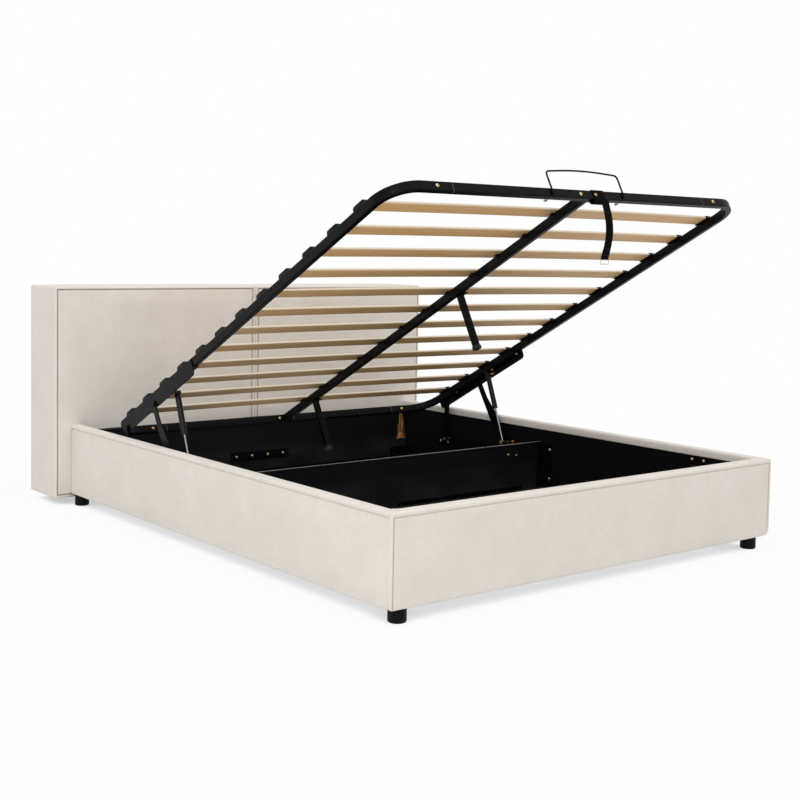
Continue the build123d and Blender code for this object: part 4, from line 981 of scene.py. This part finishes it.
hang_y, hang_z, drop = -1.06098, 1.22627, 0.192
strap_bulge, strap_lean, hem_gap = 0.021, 0.006, 1.7 * MM
tail = []
for step in np.linspace(0, 1, 29):
    bulge = strap_bulge * math.sin(math.pi * step) ** 1.1 + strap_lean * step
    tail.append((strap_x, hang_y - bulge, hang_z - drop * step))
strap = ribbon("pull_strap_tail", tail, (1, 0, 0), strap_wide, strap_thick, strap_web)
fold_top = [(x, y + hem_gap, z) for x, y, z in tail[-6:]]
hem = ribbon("pull_strap_hem", fold_top, (1, 0, 0), strap_wide * 0.98, strap_thick * 0.8, strap_web)


def stitch_shape():
    """One stitch, 3.4 mm long, half sunk in the webbing."""
    rings = [[(along * MM, y, z) for y, z, _ in round_ring(size * MM, 0, 8)]
             for along, size in ((-1.7, 0.2), (-1.3, 0.42), (0, 0.5), (1.3, 0.42), (1.7, 0.2))]
    return loft("stitch", rings, thread)


stitch_places = []
for index in (6, 23, 26):
    before, here, after = (np.array(tail[i]) for i in (index - 1, index, index + 1))
    out = np.cross(after - before, (1, 0, 0))
    out /= -np.linalg.norm(out) * (1 if out[1] > 0 else -1)
    stitch_places += [here + np.array((spot * MM, 0, 0)) + out * strap_thick / 2
                      for spot in np.linspace(-13, 13, 7)]
stitch_turns = [(0, 0, 0)] * len(stitch_places)
stitches = repeated("strap_stitches", stitch_shape(), stitch_places, stitch_turns, thread, 13, play=0.08)
place_in(stitches, "strap")
place_in(strap, "strap", "pull_strap")
place_in(hem, "strap")


def wire_ring(name, line, radius, material):
    """Round wire along a closed line of points."""
    line = np.asarray(line, float)
    rings, normal = [], None
    for i in range(len(line)):
        way = Vector(line[(i + 1) % len(line)] - line[i - 1]).normalized()
        normal = way.orthogonal() if normal is None else normal - way * normal.dot(way)
        normal.normalize()
        other = way.cross(normal)
        rings.append([tuple(Vector(line[i]) + radius * (math.cos(a) * normal + math.sin(a) * other))
                      for a in ring_angles(10)])
    return loft(name, rings + rings[:1], material, caps=False)


ring_y, ring_low = hang_y - 6 * MM, hang_z - drop - 8 * MM
ring_line = [(strap_x + a, ring_y, ring_low + b) for a, b in rounded_outline(39 * MM, 13 * MM, 3 * MM, 4)]
place_in(wire_ring("strap_wire_ring", ring_line, 1.5 * MM, nickel), "strap", "strap_ring")


# Spare bolts in a thin bag that is gathered at the top and hangs under the head tube
pouch_x, pouch_y, pouch_top, pouch_tall = 0.632, 0.67853, 0.3018, 0.118
bag_rings = []
for step in np.linspace(0, 1, 19):
    half_wide = np.interp(step, (0, 0.06, 0.12, 0.55, 0.93, 1), (11, 9, 11, 18, 24, 22)) * MM
    half_deep = np.interp(step, (0, 0.06, 0.12, 0.6, 0.93, 1), (3.0, 2.0, 2.6, 3.4, 3.9, 1.0)) * MM
    ring = []
    for spot in range(36):
        a = 2 * math.pi * spot / 36
        fold = 1 + 0.16 * (1 - step) * math.sin(7 * a) + 0.06 * math.sin(5 * a + 6 * step)
        ring.append((pouch_x + half_wide * math.cos(a) * (1 + 0.05 * math.sin(3 * a + 9 * step)),
                     pouch_y + half_deep * math.sin(a) * fold, pouch_top - pouch_tall * step))
    bag_rings.append(ring)
place_in(loft("fixings_bag", bag_rings, bag_film), "pouch", "fixings_pouch")


def screw_shape():
    """A short bolt that lies along its own Z, with a flat head."""
    profile = ((4.6, 0), (4.6, 2.4), (2.5, 2.6), (2.5, 18), (1.2, 19))
    return loft("screw", [round_ring(radius * MM, rise * MM, 12) for radius, rise in profile], copper)


# Each screw's place above the bag's bottom, in millimetres, and its direction
screw_spots = [((-15, 4), (0.5, 1)), ((-6, 1), (-0.35, 1)), ((4, 3), (0.3, 1)), ((13, 1), (-0.5, 1)),
               ((-10, 14), (0.9, 0.5)), ((9, 15), (-0.8, 0.6)), ((0, 11), (0.1, 1))]
bag_bottom = 3 * MM
screw_places = [(pouch_x + a * MM, pouch_y, pouch_top - pouch_tall + b * MM + bag_bottom)
                for (a, b), _ in screw_spots]
screw_turns = [facing((a, 0, b)) for _, (a, b) in screw_spots]
screws = repeated("spare_screws", screw_shape(), screw_places, screw_turns, copper, 6, play=0.06)
place_in(screws, "pouch", "spare_bolts")


# Lining cloth inside the rails, glued flat with faint puckers, and cloth on the storage floor
cloth_thick, sheet_hem = 1.2 * MM, 0.03
cloth_lift, cloth_under = 0.25 * MM, 0.1 * MM
pressed_flat, pressed_fade = 0.075, 0.09


def cloth_sheet(name, corner, ways, size, material, folds, seed, step=22 * MM, pressed=None):
    """A thin sheet over a plane, from a corner along two ways, raised by soft folds but for one spot."""
    corner, first, second, out = (np.array(v, float) for v in (corner, *ways))
    wide, long = size
    draw = np.random.default_rng(seed)
    waves = [[draw.uniform(*span) for span in ((2, 9), (2, 9), (0, 6.3), (0.3, 1))] for _ in range(7)]
    us, vs = (np.linspace(0, reach, max(2, int(reach / step))) for reach in size)
    top, low = [], []
    for v in vs:
        for u in us:
            edge = min(1, *(near / sheet_hem for near in (u, v, wide - u, long - v)))
            raise_by = sum(h * math.sin(a * u + b * v + c) for a, b, c, h in waves) / 4
            ridge = max(0, 1 - abs(math.sin(3.1 * u + 1.7 * v + seed)) * 9) * math.sin(2.3 * v + seed) ** 2
            high = folds * max(0, edge) * (0.5 + 0.35 * raise_by + 0.6 * ridge)
            spot = corner + u * first + v * second
            loose = 1.0
            if pressed:
                loose = float(np.clip((math.dist((u, v), pressed) - pressed_flat) / pressed_fade, 0, 1))
            top.append(spot + out * (cloth_lift + loose * (cloth_thick + high)))
            low.append(spot + out * (cloth_under + loose * high * 0.98))
    count, rows = len(us), len(vs)
    faces = []
    for j in range(rows - 1):
        for i in range(count - 1):
            a = j * count + i
            b = a + count * rows
            faces += [(a, a + 1, a + count + 1, a + count), (b, b + count, b + count + 1, b + 1)]
    border = [*range(count)] + [j * count + count - 1 for j in range(1, rows)]
    border += [(rows - 1) * count + i for i in range(count - 2, -1, -1)]
    border += [j * count for j in range(rows - 2, 0, -1)]
    for a, b in zip(border, border[1:] + border[:1]):
        faces.append((b, a, a + count * rows, b + count * rows))
    made = new_piece(name, top + low, faces, material)
    tidy_normals(made)
    made.data.set_sharp_from_angle(angle=math.radians(60))
    return made


lining_low, lining_tall, side_lining_long, foot_lining_long = 0.049, 0.249, 2.058, 1.66
lining_pucker = 0.7 * MM
for side, sign in sides:
    cloth = cloth_sheet(f"rail_lining_{side}", (sign * board_inner, -1.128, lining_low),
                        ((0, 1, 0), (0, 0, 1), (-sign, 0, 0)), (side_lining_long, lining_tall), felt,
                        lining_pucker, 4 + sign)
    place_in(cloth, "base")
cloth = cloth_sheet("rail_lining_foot", (-0.830, -1.130, lining_low), ((1, 0, 0), (0, 0, 1), (0, 1, 0)),
                    (foot_lining_long, lining_tall), felt, lining_pucker, 9)
place_in(cloth, "base", "rail_linings")
# The floor cloths stop short of their panels and lie flat where the shut deck's leg caps land
panel_top, cloth_wide, cloth_short = 0.052, 1.650, 2 * MM
floor_folds, floor_step = 9 * MM, 16 * MM
for part, start, deep, landing, seed in (
        ("foot", -1.1255, 1.081, -0.4175, 31), ("head", -0.0245, 0.907, 0.611, 30)):
    edge, long = start + cloth_short, deep - 2 * cloth_short
    cloth = cloth_sheet(f"storage_floor_cloth_{part}", (-cloth_wide / 2, edge, panel_top),
                        ((1, 0, 0), (0, 1, 0), (0, 0, 1)), (cloth_wide, long), floor_cloth, floor_folds, seed,
                        floor_step, (cloth_wide / 2, landing - edge))
    place_in(cloth, "base")


# Camera, solved on the photograph
camera_place = (-3.0752, -3.9588, 1.0593)
camera_yaw, camera_pitch, camera_roll = 0.6796, -0.0686, 0.0193
focal_pixels = 1299.25
picture_pixels = 800
sensor = 36.0
centre_pixel = (409.3, 337.4)

ahead = Vector((math.sin(camera_yaw) * math.cos(camera_pitch),
                math.cos(camera_yaw) * math.cos(camera_pitch), math.sin(camera_pitch)))
level = Vector((math.cos(camera_yaw), -math.sin(camera_yaw), 0))
upright = level.cross(ahead)
right = math.cos(camera_roll) * level + math.sin(camera_roll) * upright
above = -math.sin(camera_roll) * level + math.cos(camera_roll) * upright
camera = linked("camera", bpy.data.cameras.new("camera"))
camera.data.sensor_width = sensor
camera.data.lens = focal_pixels / picture_pixels * sensor
camera.data.shift_x = (picture_pixels / 2 - centre_pixel[0]) / picture_pixels
camera.data.shift_y = (centre_pixel[1] - picture_pixels / 2) / picture_pixels
camera.data.clip_end = 100
rows = [(right[n], above[n], -ahead[n], camera_place[n]) for n in range(3)]
camera.matrix_world = Matrix(rows + [(0, 0, 0, 1)])
bpy.context.scene.camera = camera
bpy.context.scene.view_settings.view_transform = "Standard"


# Stage and light
def background_rays(tree):
    """1 for the rays that see the background: camera, glossy and transmission."""
    seen = add(tree, "ShaderNodeLightPath").outputs
    rays = add(tree, "ShaderNodeMath", (seen["Is Camera Ray"], seen["Is Glossy Ray"]), operation="MAXIMUM")
    return add(tree, "ShaderNodeMath", (rays, seen["Is Transmission Ray"]), operation="MAXIMUM")


# Painted studio floor: matt and pale, shaded by the object, and white to the rays that see the background
paper, tree, place = new_material("white_studio_floor")
shadow_reach, dark_shade = 0.105, 0.53
near_radius, far_radius, near_share = 1.6, 3.4, 0.93
far = add(tree, "ShaderNodeVectorMath", (place,), operation="LENGTH").outputs["Value"]
matt = add(tree, "ShaderNodeBsdfDiffuse", {"Color": (0.82, 0.82, 0.82, 1)})
near = add(tree, "ShaderNodeAmbientOcclusion", {"Color": "#FFFFFF", "Distance": shadow_reach}, samples=16)
shade = add(tree, "ShaderNodeMapRange", (near.outputs["AO"], 0.08, 0.36, dark_shade, 1.0))
bright = add(tree, "ShaderNodeEmission", {"Color": "#FFFFFF", "Strength": shade})
away = add(tree, "ShaderNodeMapRange", (far, near_radius, far_radius, near_share, 1))
share = add(tree, "ShaderNodeMath", (away, background_rays(tree)), operation="MULTIPLY")
add(tree, "ShaderNodeOutputMaterial", (add(tree, "ShaderNodeMixShader", (share, matt, bright)),))
floor_half = 60
floor_corners = [(x * floor_half, y * floor_half, 0) for x, y in ((-1, -1), (1, -1), (1, 1), (-1, 1))]
floor = new_piece("floor", floor_corners, [(0, 1, 2, 3)], paper)

world = bpy.data.worlds.new("studio")
bpy.context.scene.world = world
world.use_nodes = True
tree = world.node_tree
tree.nodes.clear()
room_strength, background_strength = 0.76, 1.0
dim, white = [add(tree, "ShaderNodeBackground", {"Color": "#FFFFFF", "Strength": strength})
              for strength in (room_strength, background_strength)]
add(tree, "ShaderNodeOutputWorld", (add(tree, "ShaderNodeMixShader", (background_rays(tree), dim, white)),))

# Square soft lamps that aren't themselves seen: place, target, size in metres and power in watts
for name, place, target, size, power in (
        ("key_lamp", (-4.6, -3.7, 3.3), (0, 0, 0.4), 4.0, 98),
        ("low_fill", (-0.1, 0.42, 0.12), (-0.1, 0.45, 1.2), 0.7, 0.55),
        ("top_lamp", (-0.5, -1.5, 5.5), (0, 0, 0), 4.0, 80)):
    lamp = linked(name, bpy.data.lights.new(name, "AREA"))
    lamp.data.shape = "SQUARE"
    lamp.data.size = size
    lamp.data.energy = power
    lamp.visible_camera = False
    lamp.location = place
    lamp.rotation_euler = (Vector(target) - Vector(place)).to_track_quat("-Z", "Y").to_euler()
